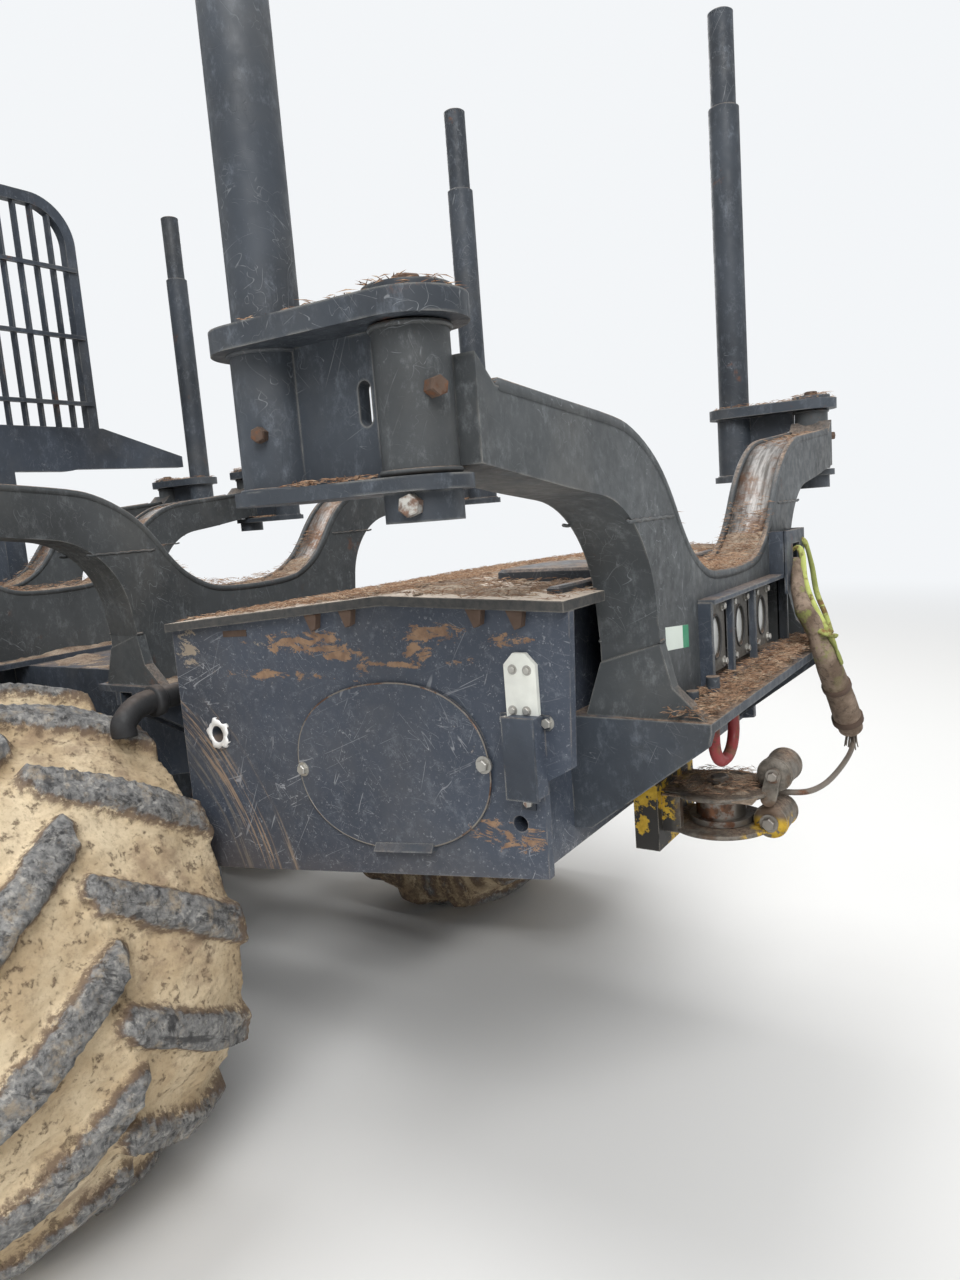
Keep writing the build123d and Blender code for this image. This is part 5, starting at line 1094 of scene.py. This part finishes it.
new_piece("rear_lamp_lenses", *joined(lenses), lens_glass, "rear_body")
new_piece("rear_lamp_rims", *joined(rims), lamp_black, "rear_body")
flat_piece("rear_lamp_bolts", screws, bolt_steel, "rear_body")
bay = [
    box_of((-4.476, -0.372, 1.440), (-4.436, 0.262, 1.450)), box_of((-4.470, 0.258, 1.262), (-4.436, 0.266, 1.444)),
    box_of((-4.462, -0.376, 1.262), (-4.436, -0.366, 1.444)),
    box_of((-4.470, -0.372, 1.256), (-4.436, 0.262, 1.264)),
    box_of((-4.466, -0.066, 1.270), (-4.450, -0.056, 1.436)),
    box_of((-4.466, 0.105, 1.270), (-4.450, 0.113, 1.436)),
]
flat_piece("lamp_bay_frame", bay, frame_paint, "rear_body")
label = slab_of([(0.330, 1.362), (0.452, 1.374), (0.452, 1.420), (0.330, 1.408)], -4.4408, -4.4396, "x")
new_piece("blank_label", *label, label_pale, "rear_body", smooth=False)
strip = slab_of([(0.330, 1.362), (0.362, 1.365), (0.362, 1.411), (0.330, 1.408)], -4.4412, -4.4398, "x")
new_piece("blank_label_strip", *strip, label_green, "rear_body", smooth=False)

# Hook bracket, straps and the rope's frayed end by the sleeve
plate_x = (-4.486, -4.478)
hook_plates = [
    box_of((plate_x[0], -0.470, 1.398), (plate_x[1], -0.418, 1.560)),
    box_of((plate_x[0], -0.346, 1.398), (plate_x[1], -0.286, 1.560)),
    box_of((plate_x[0], -0.4185, 1.524), (plate_x[1], -0.3455, 1.560)),
    box_of((plate_x[0], -0.4185, 1.398), (plate_x[1], -0.3455, 1.430)),
    box_of((-4.480, -0.470, 1.398), (-4.438, -0.462, 1.560)),
    box_of((-4.480, -0.294, 1.440), (-4.438, -0.286, 1.560)),
]
flat_piece("hook_bracket", hook_plates, frame_paint, "rear_body")
straps = [
    tube([(-4.470, -0.380, 1.500), (-4.492, -0.372, 1.512), (-4.508, -0.352, 1.490), (-4.518, -0.330, 1.430),
          (-4.540, -0.300, 1.380), (-4.572, -0.270, 1.330), (-4.600, -0.262, 1.275), (-4.612, -0.300, 1.215)],
         [0.008, 0.009, 0.008, 0.007], 8, 6, flat=0.5),
    tube([(-4.470, -0.440, 1.540), (-4.492, -0.452, 1.520), (-4.506, -0.462, 1.455), (-4.522, -0.440, 1.385),
          (-4.556, -0.385, 1.330), (-4.582, -0.330, 1.290)], [0.007, 0.008, 0.006], 8, 6, flat=0.5),
    tube([(-4.556, -0.265, 1.310), (-4.590, -0.245, 1.300), (-4.600, -0.285, 1.288), (-4.575, -0.312, 1.284)],
         [0.009, 0.009], 8, 6, flat=0.6),
]
new_piece("mossy_straps", *joined(straps), strap_green, "rear_body")
frayed = []
for k in range(9):
    a = k * 2.4
    start = np.array((-4.597, -0.474, 1.010)) + 0.008 * np.array((cos(a), sin(a), 0))
    drop = np.array((0.012 * cos(a + 1), 0.014 * sin(a + 1), -0.055 - 0.006 * (k % 4)))
    strand = [start, start + 0.35 * drop + (0, -0.006, 0), start + 0.7 * drop, start + drop]
    frayed.append(tube(strand, [0.0032, 0.0028, 0.0016], 5, 4))
new_piece("frayed_rope_end", *joined(frayed), rope_strands, "rear_body")
bands = [
    turned_solid([(-0.012, 0.037), (-0.008, 0.041), (0.008, 0.041), (0.012, 0.037), (0.012, 0.02)], 24,
                 (-4.5950, -0.440, 1.038), (0.07, 0.50, 0.86)),
    turned_solid([(-0.009, 0.034), (-0.006, 0.0375), (0.006, 0.0375), (0.009, 0.034), (0.009, 0.02)], 24,
                 (-4.5865, -0.352, 1.146), (0.10, 0.60, 0.79)),
]
new_piece("sleeve_bands", *joined(bands), rusty_iron, "rear_body")

# Fairlead: the plates' rolled edges, roller ends and their bolts
ends = []
for x, z in ROLLERS:
    for y, out in ((0.0985, 1), (0.0015, -1)):
        ends.append(turned_solid([(-0.010, 0.0380), (0.0015, 0.0370), (0.0015, 0.012)], 40, (x, y, z), (0, out, 0)))
    for y in (0.008, 0.092):
        collar = [(-0.004, 0.0383), (-0.003, 0.0400), (0.003, 0.0400), (0.004, 0.0383)]
        ends.append(turned_solid(collar, 40, (x, y, z), (0, 1, 0)))
new_piece("roller_ends", *joined(ends), fairlead_steel, "rear_body")
nuts = hexagon_bolt((ROLLERS[1][0], 0.110, ROLLERS[1][1]), (0, 1, 0), 0.026, 0.014)
nuts += hexagon_bolt((ROLLERS[0][0], 0.110, ROLLERS[0][1]), (0, 1, 0), 0.020, 0.012)
nuts += hexagon_bolt((SHEAVE[0], SHEAVE[1], 0.8805), (0, 0, -1), 0.040, 0.018)
nuts += hexagon_bolt((SHEAVE[0], SHEAVE[1], 0.9995), (0, 0, 1), 0.036, 0.012)
flat_piece("fairlead_bolts", nuts, bare_steel, "rear_body")
edges = [tube(level_ring(*SHEAVE, z, 0.115, 64), 0.0062, 8, 0, up=(0, 0, 1)) for z in (0.899, 0.985)]
new_piece("fairlead_rims", *joined(edges), fairlead_steel, "rear_body")


# Litter: beds of duff where it gathers, loose needles and crumbs over them
def level(z):
    """Return a floor at one height."""
    return lambda x, y: 0 * x + z


duff_bed("roof_duff_rear", (-4.300, -0.66), (-3.90, 0.66), roof_top, "rear_body", 0.014, 3, 0.014, bare=0.25)
duff_bed("roof_duff_front", (-3.92, -0.66), (-3.30, 0.66), roof_top, "rear_body", 0.012, 5, 0.016, bare=0.35)
duff_bed("tail_duff", (-4.536, -0.49), (-4.446, 0.49), level(SEAT_Z), "rear_body", 0.026, 9, 0.009,
         inside=lambda x, y: 0.55 + 0.45 * (x + 4.536) / 0.09)


def saddle_floor(x, y):
    """Return the height of the load side of a bunk at some distance from its middle."""
    return np.interp(np.abs(y), BUNK_LINE[:, 0], BUNK_LINE[:, 1])


for number, x in enumerate(BUNK_X, start=1):
    duff_bed(f"saddle_duff_{number}", (x + 0.004, -0.30), (x + 0.123, 0.30), saddle_floor, "rear_body",
             0.030 if number == 1 else 0.020, 20 + number, 0.010)
    if number > 1:
        duff_bed(f"seat_duff_{number}", (x - 0.088, -0.49), (x + 0.188, 0.49), level(SEAT_Z), "rear_body", 0.018,
                 40 + number, 0.016, inside=lambda px, py, x=x: 1.0 * ((px < x) | (px > x + BUNK_DEPTH)))
duff_bed("deck_duff_rear", (-3.25, -0.215), (-2.95, 0.215), level(DECK_Z), "rear_body", 0.016, 51, 0.016)
duff_bed("deck_duff_middle", (-2.64, -0.215), (-1.82, 0.215), level(DECK_Z), "rear_body", 0.016, 53, 0.018)
duff_bed("fairlead_duff", (-4.515, -0.025), (-4.305, 0.185), level(0.991), "rear_body", 0.012, 61, 0.007,
         inside=lambda x, y: (0.108 - np.hypot(x - SHEAVE[0], y - SHEAVE[1])) / 0.02)


def scattered(count, low, high):
    """Return random X and Y in a rectangle."""
    return rng.uniform(low[0], high[0], count), rng.uniform(low[1], high[1], count)


x, y = scattered(6500, (-4.34, -0.695), (-3.27, 0.695))
keep = (x > -4.303) | (np.abs(y) > 0.535)
x, y = x[keep], y[keep]
strew("roof_needles", x, y, roof_top(x) + 0.001, "rear_body", lift=0.007)
x, y = scattered(500, (-4.30, -0.69), (-3.27, 0.69))
bark_chips("roof_chips", x, y, roof_top(x) + 0.001, "rear_body", 0.013)
x, y = scattered(2300, (-4.538, -0.498), (-4.444, 0.498))
strew("tail_needles", x, y, 0 * x + SEAT_Z + 0.006, "rear_body", lift=0.022)
x, y = scattered(220, (-4.532, -0.495), (-4.446, 0.495))
bark_chips("tail_chips", x, y, 0 * x + SEAT_Z + 0.012, "rear_body", 0.016)
for number, bunk_x in enumerate(BUNK_X, start=1):
    x, y = scattered(1500 if number == 1 else 700, (bunk_x + 0.004, -0.36), (bunk_x + 0.123, 0.36))
    strew(f"saddle_needles_{number}", x, y, saddle_floor(x, y) + 0.004, "rear_body", lift=0.026)
    x, y = scattered(420, (bunk_x + 0.006, 0.55), (bunk_x + 0.121, 1.02))
    y = y * rng.choice([-1, 1], len(y))
    strew(f"arm_needles_{number}", x, y, saddle_floor(x, y) + 0.003, "rear_body", 0.038, 0.006)
x, y = scattered(420, (-4.525, -0.035), (-4.30, 0.195))
keep = np.hypot(x - SHEAVE[0], y - SHEAVE[1]) < 0.112
strew("fairlead_needles", x[keep], y[keep], 0 * x[keep] + 0.998, "rear_body", lift=0.010)
for number, (bunk_x, reach) in enumerate(zip(BUNK_X, BUNK_REACH), start=1):
    for side, side_name in SIDES:
        pivot_x = bracket_pivot(bunk_x, reach)
        x, y = scattered(620, (-0.075, -0.078), (BRACKET_SPAN + 0.08, 0.078))
        keep = np.minimum(np.hypot(x, y), np.hypot(x - BRACKET_SPAN, y)) < 0.072
        keep |= (x > 0) & (x < BRACKET_SPAN) & (np.abs(y) < 0.070)
        keep &= (np.hypot(x - BRACKET_SPAN, y) > 0.054)
        x, y = x[keep], y[keep]
        z = np.where(np.hypot(x, y) < 0.060, 1.965, 1.953)
        strew(f"plate_needles_{number}_{side_name}", pivot_x + reach * x, side * PIVOT_Y + y, z,
              f"stake_bracket_{number}_{side_name}", 0.036, 0.006)
        x, y = scattered(260, (0.060, -0.066), (BRACKET_SPAN - 0.05, 0.066))
        keep = np.abs(y) > 0.014
        x, y = x[keep], y[keep]
        strew(f"low_plate_needles_{number}_{side_name}", pivot_x + reach * x, side * PIVOT_Y + y, 0 * x + 1.724,
              f"stake_bracket_{number}_{side_name}", 0.030, 0.006)


# Dress of the crane, cab and hood: small pieces find their seat by a ray from outside
def seat_on(origin, direction):
    """Return where a ray first meets the machine, the face's normal and the body it is on."""
    bpy.context.view_layer.update()
    graph = bpy.context.evaluated_depsgraph_get()
    ray = Vector(origin), Vector(direction).normalized()
    hit, place, normal, _, thing, _ = bpy.context.scene.ray_cast(graph, *ray)
    return (np.array(place), np.array(normal), thing["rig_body"]) if hit and "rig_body" in thing.keys() else None


# Each pin of the crane: X, Z and its cap's radius
PIVOTS = {
    "boom_root": (-0.040, 3.750, 0.060), "elbow": (-2.2615, 5.6141, 0.052), "lift_foot": (-0.270, 2.450, 0.040),
    "lift_eye": (-0.6934, 3.998, 0.040), "jib_foot": (-0.441, 4.439, 0.040), "jib_eye": (-1.8675, 5.6835, 0.036),
    "tip": (-4.2804, 5.970, 0.036),
}
for name, (x, z, r) in PIVOTS.items():
    for side, side_name in SIDES:
        place, _, body = seat_on((x, side * 0.9, z), (0, -side, 0))
        cap = turned_solid([(-0.003, r), (0.007, r), (0.011, r * 0.86), (0.011, r * 0.2)], 28, place, (0, side, 0))
        keeper = hexagon_bolt(place + (0, side * 0.010, 0), (0, side, 0), r * 0.5, 0.012)
        flat_piece(f"pin_cap_{name}_{side_name}", [cap] + keeper, crane_paint, body)


def boom_hoses(name, start, angle, reach, rises, node, radius=0.013):
    """Lay hoses along a boom's left side, each on the side that rays find, with clamps over them."""
    along = np.array((-cos(radians(angle)), sin(radians(angle))))
    across = np.array((along[1], -along[0])) * -1
    runs, straps = [], []
    for rise in rises:
        line = []
        for t in np.linspace(*reach, 7):
            x, z = np.array(start) + along * t + across * rise
            seat = seat_on((x, 0.8, z), (0, -1, 0))
            if seat is not None and seat[2] == node:
                y = seat[0][1]
            else:
                y = line[-1][1] - radius * 0.9 if line else 0.11
            line.append((x, y + radius * 0.9, z))
        runs.append(tube(line, radius, 10, 4))
    for t in np.linspace(reach[0] + 0.1, reach[1] - 0.1, 4):
        x, z = np.array(start) + along * t
        seat = seat_on((x, 0.8, z), (0, -1, 0))
        if seat is None or seat[2] != node:
            continue
        y, half = seat[0][1], max(rises) + radius * 1.4
        corners = [(x + a * along[0] + b * across[0], z + a * along[1] + b * across[1])
                   for a, b in ((-0.02, -half), (0.02, -half), (0.02, half), (-0.02, half))]
        straps.append(slab_of(corners, y - 0.002, y + 2.1 * radius))
    new_piece(name, *joined(runs), hose_rubber, node)
    flat_piece(name + "_clamps", straps, bare_steel, node)


boom_hoses("lift_boom_hoses", PIVOTS["boom_root"][:2], 40, (0.75, 2.55), (-0.045, -0.012, 0.021), "lift_boom")
boom_hoses("jib_hoses", PIVOTS["elbow"][:2], 10, (0.35, 1.75), (-0.030, 0.0), "jib", 0.011)
for k, rise in enumerate((-0.02, 0.02)):
    bend = smooth_path([(x, y, z + rise) for x, y, z in (
        (-1.960, 0.120, 5.360), (-2.100, 0.150, 5.490), (-2.2615, 0.175, 5.614), (-2.430, 0.150, 5.650),
        (-2.600, 0.085, 5.672),
    )], 8)
    hose = new_piece(f"elbow_hose_{k + 1}", *tube(bend, 0.012, 10, 0), hose_rubber, "lift_boom")
    hose.parent = None
    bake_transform(hose)
for k, y in enumerate((-0.12, -0.06, 0.06, 0.12)):
    rear, ahead = seat_on((0.34, y, 2.0), (0, 0, -1)), seat_on((1.08, y, 3.2), (0, 0, -1))
    low, high = rear[0][2], ahead[0][2]
    bend = smooth_path([(0.34, y, low - 0.01), (0.36, y, low + 0.05), (0.50, y * 1.2, low + 0.11),
                        (0.81, y * 1.3, max(low, high) + 0.12), (1.02, y, high + 0.07), (1.08, y, high - 0.01)], 8)
    hose = new_piece(f"articulation_hose_{k + 1}", *tube(bend, 0.014, 10, 0), hose_rubber, "rear_body")
    hose.parent = None
    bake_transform(hose)

for name, foot, eye, reach, body in (
    ("lift_gland", PIVOTS["lift_foot"], PIVOTS["lift_eye"], (1.045, 1.095), "lift_barrel"),
    ("jib_gland", PIVOTS["jib_foot"], PIVOTS["jib_eye"], (1.475, 1.525), "jib_barrel"),
):
    ahead = np.array(eye[:2]) - foot[:2]
    ahead = ahead / np.linalg.norm(ahead)
    ring = turned_solid([(reach[0], 0.074), (reach[0] + 0.004, 0.079), (reach[1] - 0.004, 0.079), (reach[1], 0.072),
                         (reach[1], 0.043)], 32, (foot[0], 0, foot[1]), (ahead[0], 0, ahead[1]))
    new_piece(name, *ring, cylinder_black, body, smooth=False)

bolts = []
for a in np.arange(16) * 2 * pi / 16 + 0.1:
    seat = seat_on((SLEW_X + 0.192 * cos(a), 0.192 * sin(a), 1.75), (0, 0, -1))
    if seat is not None and seat[1][2] > 0.9 and seat[2] == "crane_pillar" and seat[0][2] < 1.66:
        bolts += hexagon_bolt(seat[0], (0, 0, 1), 0.022, 0.014)
flat_piece("slew_bolts", bolts, bolt_steel, "crane_pillar")

# Bogie covers between the tyres of a pair
for end, x in BOGIES:
    for side, side_name in SIDES:
        place, _, body = seat_on((x, side * 1.3, 0.70), (0, -side, 0))
        disc = [(-0.003, 0.075), (0.010, 0.075), (0.014, 0.068), (0.014, 0.02)]
        cover = [turned_solid(disc, 36, place, (0, side, 0))]
        for a in np.arange(6) * pi / 3:
            head = place + (0.058 * cos(a), side * 0.012, 0.058 * sin(a))
            cover += hexagon_bolt(head, (0, side, 0), 0.014, 0.009)
        flat_piece(f"bogie_cover_{end}_{side_name}", cover, frame_paint, body)


# Cab: seals round the panes, wiper, mirrors, rails, gutter, hatch and beacon
def seal(corners, radius=0.011):
    """A rubber bead along a closed run of corners, each corner turned in three steps."""
    corners = np.array(corners, float)
    line = []
    for k, corner in enumerate(corners):
        before, after = corners[k - 1] - corner, corners[(k + 1) % len(corners)] - corner
        before, after = 0.05 * before / np.linalg.norm(before), 0.05 * after / np.linalg.norm(after)
        line += [corner + before, corner + 0.29 * (before + after), corner + after]
    return tube(np.array(line + line[:1]), radius, 8, 0)


SILL_Z, LINTEL_Z = 2.300, 3.520
CAB_SIDE_Y = 0.801
MIRROR_Y = 1.02
LAMP_Y, HEADLAMP_Y, HEADLAMP_Z = 0.56, 0.52, 1.950
EXHAUST = (3.050, -0.470, 0)


def pane(x0, x1, y):
    """Return the corners of a side window."""
    return [(x0, y, SILL_Z), (x1, y, SILL_Z), (x1, y, LINTEL_Z), (x0, y, LINTEL_Z)]


seals = [seal(pane(1.230, 1.680, y)) for y in (-CAB_SIDE_Y, CAB_SIDE_Y)]
seals.append(seal(pane(1.750, 2.450, -CAB_SIDE_Y)))
seals.append(seal([(1.129, y, z) for y, z in (
    (-0.640, SILL_Z), (0.640, SILL_Z), (0.640, LINTEL_Z), (-0.640, LINTEL_Z),
)]))
seals.append(seal([(2.693, -0.700, 2.560), (2.693, 0.700, 2.560), (2.560, 0.700, 3.560), (2.560, -0.700, 3.560)]))
new_piece("cab_window_seals", *joined(seals), hose_rubber, "front_body")
new_piece("door_window_seal", *seal(pane(1.840, 2.360, CAB_SIDE_Y)), hose_rubber, "door")
gutter = seal([(1.128, -0.802, 3.660), (2.546, -0.802, 3.660), (2.546, 0.802, 3.660), (1.128, 0.802, 3.660)], 0.012)
new_piece("cab_gutter", *gutter, panel_paint, "front_body")
rails = [
    tube([(2.530, side * y, z) for y, z in (
        (0.795, 1.60), (0.850, 1.63), (0.865, 1.72), (0.865, 2.70), (0.850, 2.79), (0.795, 2.82),
    )], 0.013, 10, 6)
    for side in (1, -1)
]
new_piece("cab_handrails", *joined(rails), hose_rubber, "front_body")
arms, housings = [], []
for side in (1, -1):
    for bends in (
        ((2.580, 0.79, 3.36), (2.640, 0.86, 3.38), (2.700, 0.98, 3.36), (2.715, MIRROR_Y, 3.28)),
        ((2.620, 0.79, 2.90), (2.670, 0.86, 2.90), (2.712, 0.98, 2.94), (2.715, MIRROR_Y, 3.02)),
    ):
        arms.append(tube([(x, side * y, z) for x, y, z in bends], 0.010, 8, 6))
    housings.append(box_of((2.690, side * MIRROR_Y - 0.085, 2.98), (2.735, side * MIRROR_Y + 0.085, 3.30), 0.012))
new_piece("mirror_arms", *joined(arms), hose_rubber, "front_body")
flat_piece("mirror_housings", housings, panel_paint, "front_body")
wipers = [
    tube([(2.700, 0.30, 2.585), (2.704, 0.18, 2.66), (2.668, -0.02, 2.93)], 0.007, 8, 4),
    tube([(2.697, 0.20, 2.700), (2.630, -0.22, 3.150)], 0.006, 8, 2),
    tube([(1.120, 0.10, 3.535), (1.112, 0.14, 3.35), (1.114, 0.18, 3.15)], 0.006, 8, 4),
    tube([(1.116, 0.06, 3.320), (1.116, 0.30, 2.930)], 0.005, 8, 2),
]
new_piece("wipers", *joined(wipers), hose_rubber, "front_body")
escape_hatch = box_of((1.520, -0.330, 3.695), (2.180, 0.330, 3.730), 0.012)
new_piece("roof_escape_hatch", *escape_hatch, panel_paint, "front_body", smooth=False)
beacon = [(-0.003, 0.055), (0.020, 0.055), (0.022, 0.046), (0.085, 0.044), (0.110, 0.034), (0.120, 0.01)]
beacon = turned_solid(beacon, 28, (1.860, -0.620, 3.700), (0, 0, 1))
new_piece("beacon", *beacon, amber, "front_body")
LAMP_LENS = [(-0.004, 0.040), (0.006, 0.040), (0.010, 0.030), (0.011, 0.008)]
HEADLAMP_LENS = [(-0.004, 0.060), (0.008, 0.060), (0.016, 0.045), (0.018, 0.01)]
lamp_faces = [
    turned_solid(LAMP_LENS, 24, (x + facing * 0.004, y, 3.750), (facing, 0, 0))
    for x, facing in ((1.17, -1), (2.48, 1)) for y in (-LAMP_Y, LAMP_Y)
]
headlamp_faces = [
    turned_solid(HEADLAMP_LENS, 32, (4.450, y, HEADLAMP_Z), (1, 0, 0)) for y in (-HEADLAMP_Y, HEADLAMP_Y)
]
flat_piece("lamp_lenses", lamp_faces, lens_glass, "front_body")
flat_piece("headlamp_lenses", headlamp_faces, lens_glass, "hood")

# Hood: seams, latches, headlamp rims, hot exhaust
seams = [tube([(2.800, y, 2.4985), (4.330, y, 2.2625)], 0.004, 6, 2) for y in (-0.46, 0.46)]
seams += [tube([(2.800, side * 0.6205, 1.70), (4.440, side * 0.6205, 1.70)], 0.003, 6, 2) for side in (1, -1)]
for y in (-HEADLAMP_Y, HEADLAMP_Y):
    loop = [(4.452, y + 0.066 * cos(a), HEADLAMP_Z + 0.066 * sin(a)) for a in np.linspace(0, 2 * pi, 33)]
    seams.append(tube(loop, 0.007, 8, 0, up=(1, 0, 0)))
new_piece("hood_seams", *joined(seams), hose_rubber, "hood")
catches = [
    box_of((x, side * 0.632 - 0.013, 2.03), (x + 0.09, side * 0.632 + 0.013, 2.09), 0.01)
    for side in (1, -1) for x in (3.02, 3.96)
]
flat_piece("hood_catches", catches, hose_rubber, "hood")
pipe = turned_solid([(2.500, 0.0555), (2.505, 0.066), (2.775, 0.066), (2.780, 0.0555)], 32, EXHAUST, (0, 0, 1))
mouth = [(2.846, 0.056), (2.853, 0.058), (2.853, 0.048), (2.8505, 0.047), (2.8505, 0.01)]
mouth = turned_solid(mouth, 32, EXHAUST, (0, 0, 1))
flat_piece("exhaust_shield", [pipe, mouth], exhaust_rust, "hood")


# Operator seat: crowned cushions on a base, armrests, levers, screen and dash
def cushion(name, low, high, lean=0.0, square=0.38, puff=0.30):
    """A stuffed block between two corners, sheared back with height, its middle crowned.

    It is the superellipsoid x = cos(v)^puff cos(u)^square, y = cos(v)^puff sin(u)^square and
    z = sin(v)^0.62, each power keeping its sign, drawn in by a twentieth at the corners.
    """
    u, v = np.meshgrid(np.linspace(0, 2 * pi, 49)[:-1], np.linspace(-pi / 2, pi / 2, 27)[1:-1])

    def power(wave, exponent):
        return np.sign(wave) * np.abs(wave) ** exponent

    x = power(np.cos(v), puff) * power(np.cos(u), square)
    y = power(np.cos(v), puff) * power(np.sin(u), square)
    z = power(np.sin(v), 0.62)
    middle, half = (np.array(low) + high) / 2, (np.array(high) - low) / 2
    pinch = 1 - 0.05 * (np.abs(x) * np.abs(y))[..., None] * (1, 1, 0)
    points = np.stack([x, y, z], -1) * half * pinch + middle
    points[..., 0] += lean * (points[..., 2] - low[2])
    faces = [tuple(f) for f in grid_faces(25, 48, wrap_columns=True)]
    faces += [tuple(range(48)), tuple(range(24 * 48, 25 * 48))]
    piece = new_piece(name, points.reshape(-1, 3), faces, seat_cloth, "front_body")


base = new_piece("seat_base", *joined([
    box_of((1.740, -0.210, 1.460), (2.060, 0.210, 1.520), 0.01),
    box_of((1.780, -0.170, 1.520), (2.020, 0.170, 1.800)),
    box_of((1.720, -0.240, 1.800), (2.110, 0.240, 1.862), 0.01),
    box_of((1.740, -0.305, 1.900), (1.790, -0.262, 2.090)), box_of((1.740, 0.262, 1.900), (1.790, 0.305, 2.090)),
]), hose_rubber, "front_body", smooth=False)
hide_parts("operator_seat")
cushion("seat_cushion", (1.680, -0.270, 1.850), (2.150, 0.270, 1.995))
cushion("seat_back", (1.640, -0.258, 1.930), (1.775, 0.258, 2.560), -0.095)
cushion("seat_headrest", (1.640, -0.150, 2.560), (1.735, 0.150, 2.750), -0.095)
ARMREST_Y = 0.285
for side, side_name in SIDES:
    middle = side * ARMREST_Y
    cushion("armrest_" + side_name, (1.730, middle - 0.028, 2.075), (2.100, middle + 0.028, 2.130))
sticks = [
    tube([(x, side * ARMREST_Y, z) for x, z in ((2.060, 2.110), (2.075, 2.180), (2.070, 2.235))],
         [0.012, 0.010, 0.020], 10, 4)
    for side in (1, -1)
]
screen = [
    box_of((2.420, -0.500, 2.420), (2.450, -0.240, 2.600), 0.004),
    box_of((2.430, -0.380, 2.300), (2.445, -0.360, 2.425)),
]
dash = [
    box_of((2.380, -0.640, 2.160), (2.560, 0.640, 2.320), 0.04),
    box_of((2.440, -0.120, 1.460), (2.540, 0.120, 2.170)),
]
flat_piece("cab_controls", sticks + screen + dash, hose_rubber, "front_body")

# Screws along the front mudguards
screws = []
for side in (1, -1):
    for x in np.arange(1.48, 4.15, 0.19):
        for y in (0.875, 1.390):
            screws += hexagon_bolt((x, side * y, 1.412), (0, 0, 1), 0.012, 0.007, False)
flat_piece("mudguard_screws", screws, bolt_steel, "front_body")

# A bent black pipe ahead of the box
drain = [(-3.190, 0.60, 1.270), (-3.190, 0.74, 1.265), (-3.198, 0.80, 1.235), (-3.200, 0.805, 1.200)]
collar = [(-0.014, 0.036), (-0.010, 0.040), (0.010, 0.040), (0.014, 0.036)]
drain = [tube(drain, 0.030, 16, 8), turned_solid(collar, 24, (-3.190, 0.700, 1.266), (0, 1, 0))]
new_piece("drain_elbow", *joined(drain), hose_rubber, "rear_body")

# The rope and what is on it
winch_rope.data.materials.append(rope_strands)
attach(winch_rope, "rear_body")
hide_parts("winch_rope")

# Floor, backdrop and light
PALE_SKY = (0.90, 0.92, 0.94, 1)
floor = bpy.data.meshes.new("pale_floor")
floor.from_pydata([(-60, -60, 0), (60, -60, 0), (60, 60, 0), (-60, 60, 0)], [], [(0, 1, 2, 3)])
floor_object = bpy.data.objects.new("pale_floor", floor)
bpy.context.scene.collection.objects.link(floor_object)
floor_finish = Finish("pale_floor", 0.9)
floor_finish.colour((0.74, 0.735, 0.72))
floor.materials.append(floor_finish.material)


def sees_background(tree):
    """Return 1 for camera, glossy and transmission rays."""
    path = tree.nodes.new("ShaderNodeLightPath")
    seen = path.outputs["Is Camera Ray"]
    for ray in ("Is Glossy Ray", "Is Transmission Ray"):
        either = tree.nodes.new("ShaderNodeMath")
        either.operation = "MAXIMUM"
        tree.links.new(seen, either.inputs[0])
        tree.links.new(path.outputs[ray], either.inputs[1])
        seen = either.outputs["Value"]
    return seen


# Far from the machine the floor fades into the backdrop's white
distance = floor_finish.nodes.new("ShaderNodeVectorMath")
distance.operation = "LENGTH"
floor_finish.links.new(floor_finish.coordinates.outputs["Object"], distance.inputs[0])
faded = floor_finish.step(distance.outputs["Value"], 7.0, 15.0)
far = floor_finish.times(faded, sees_background(floor.materials[0].node_tree))
glow = floor_finish.nodes.new("ShaderNodeEmission")
glow.inputs["Color"].default_value = PALE_SKY
fade = floor_finish.nodes.new("ShaderNodeMixShader")
floor_finish.links.new(far, fade.inputs["Fac"])
floor_finish.links.new(floor_finish.shader.outputs["BSDF"], fade.inputs[1])
floor_finish.links.new(glow.outputs["Emission"], fade.inputs[2])
floor_finish.links.new(fade.outputs["Shader"], floor_finish.nodes["Material Output"].inputs["Surface"])

world = bpy.data.worlds.new("studio")
bpy.context.scene.world = world
world.use_nodes = True
sky = world.node_tree.nodes["Background"]
strength = world.node_tree.nodes.new("ShaderNodeMapRange")
strength.inputs["To Min"].default_value = 0.50
strength.inputs["To Max"].default_value = 1.0
world.node_tree.links.new(sees_background(world.node_tree), strength.inputs["Value"])
world.node_tree.links.new(strength.outputs["Result"], sky.inputs["Strength"])
sky.inputs["Color"].default_value = PALE_SKY


def soft_lamp(name, at, aim, size, power):
    """A large square lamp aimed at a point."""
    lamp = bpy.data.lights.new(name, "AREA")
    lamp.size = size
    lamp.energy = power
    thing = bpy.data.objects.new(name, lamp)
    bpy.context.scene.collection.objects.link(thing)
    turn = (Vector(aim) - Vector(at)).to_track_quat("-Z", "Y")
    thing.matrix_world = Matrix.Translation(at) @ turn.to_matrix().to_4x4()


soft_lamp("key_lamp", (-9, 7, 9), (-2.5, 0, 1), 6, 1180)
soft_lamp("fill_lamp", (6, -9, 8), (0, 0, 1.5), 7, 700)
soft_lamp("top_lamp", (0, 1, 14), (0, 0, 0), 9, 1200)

bpy.context.scene.view_settings.view_transform = "Standard"
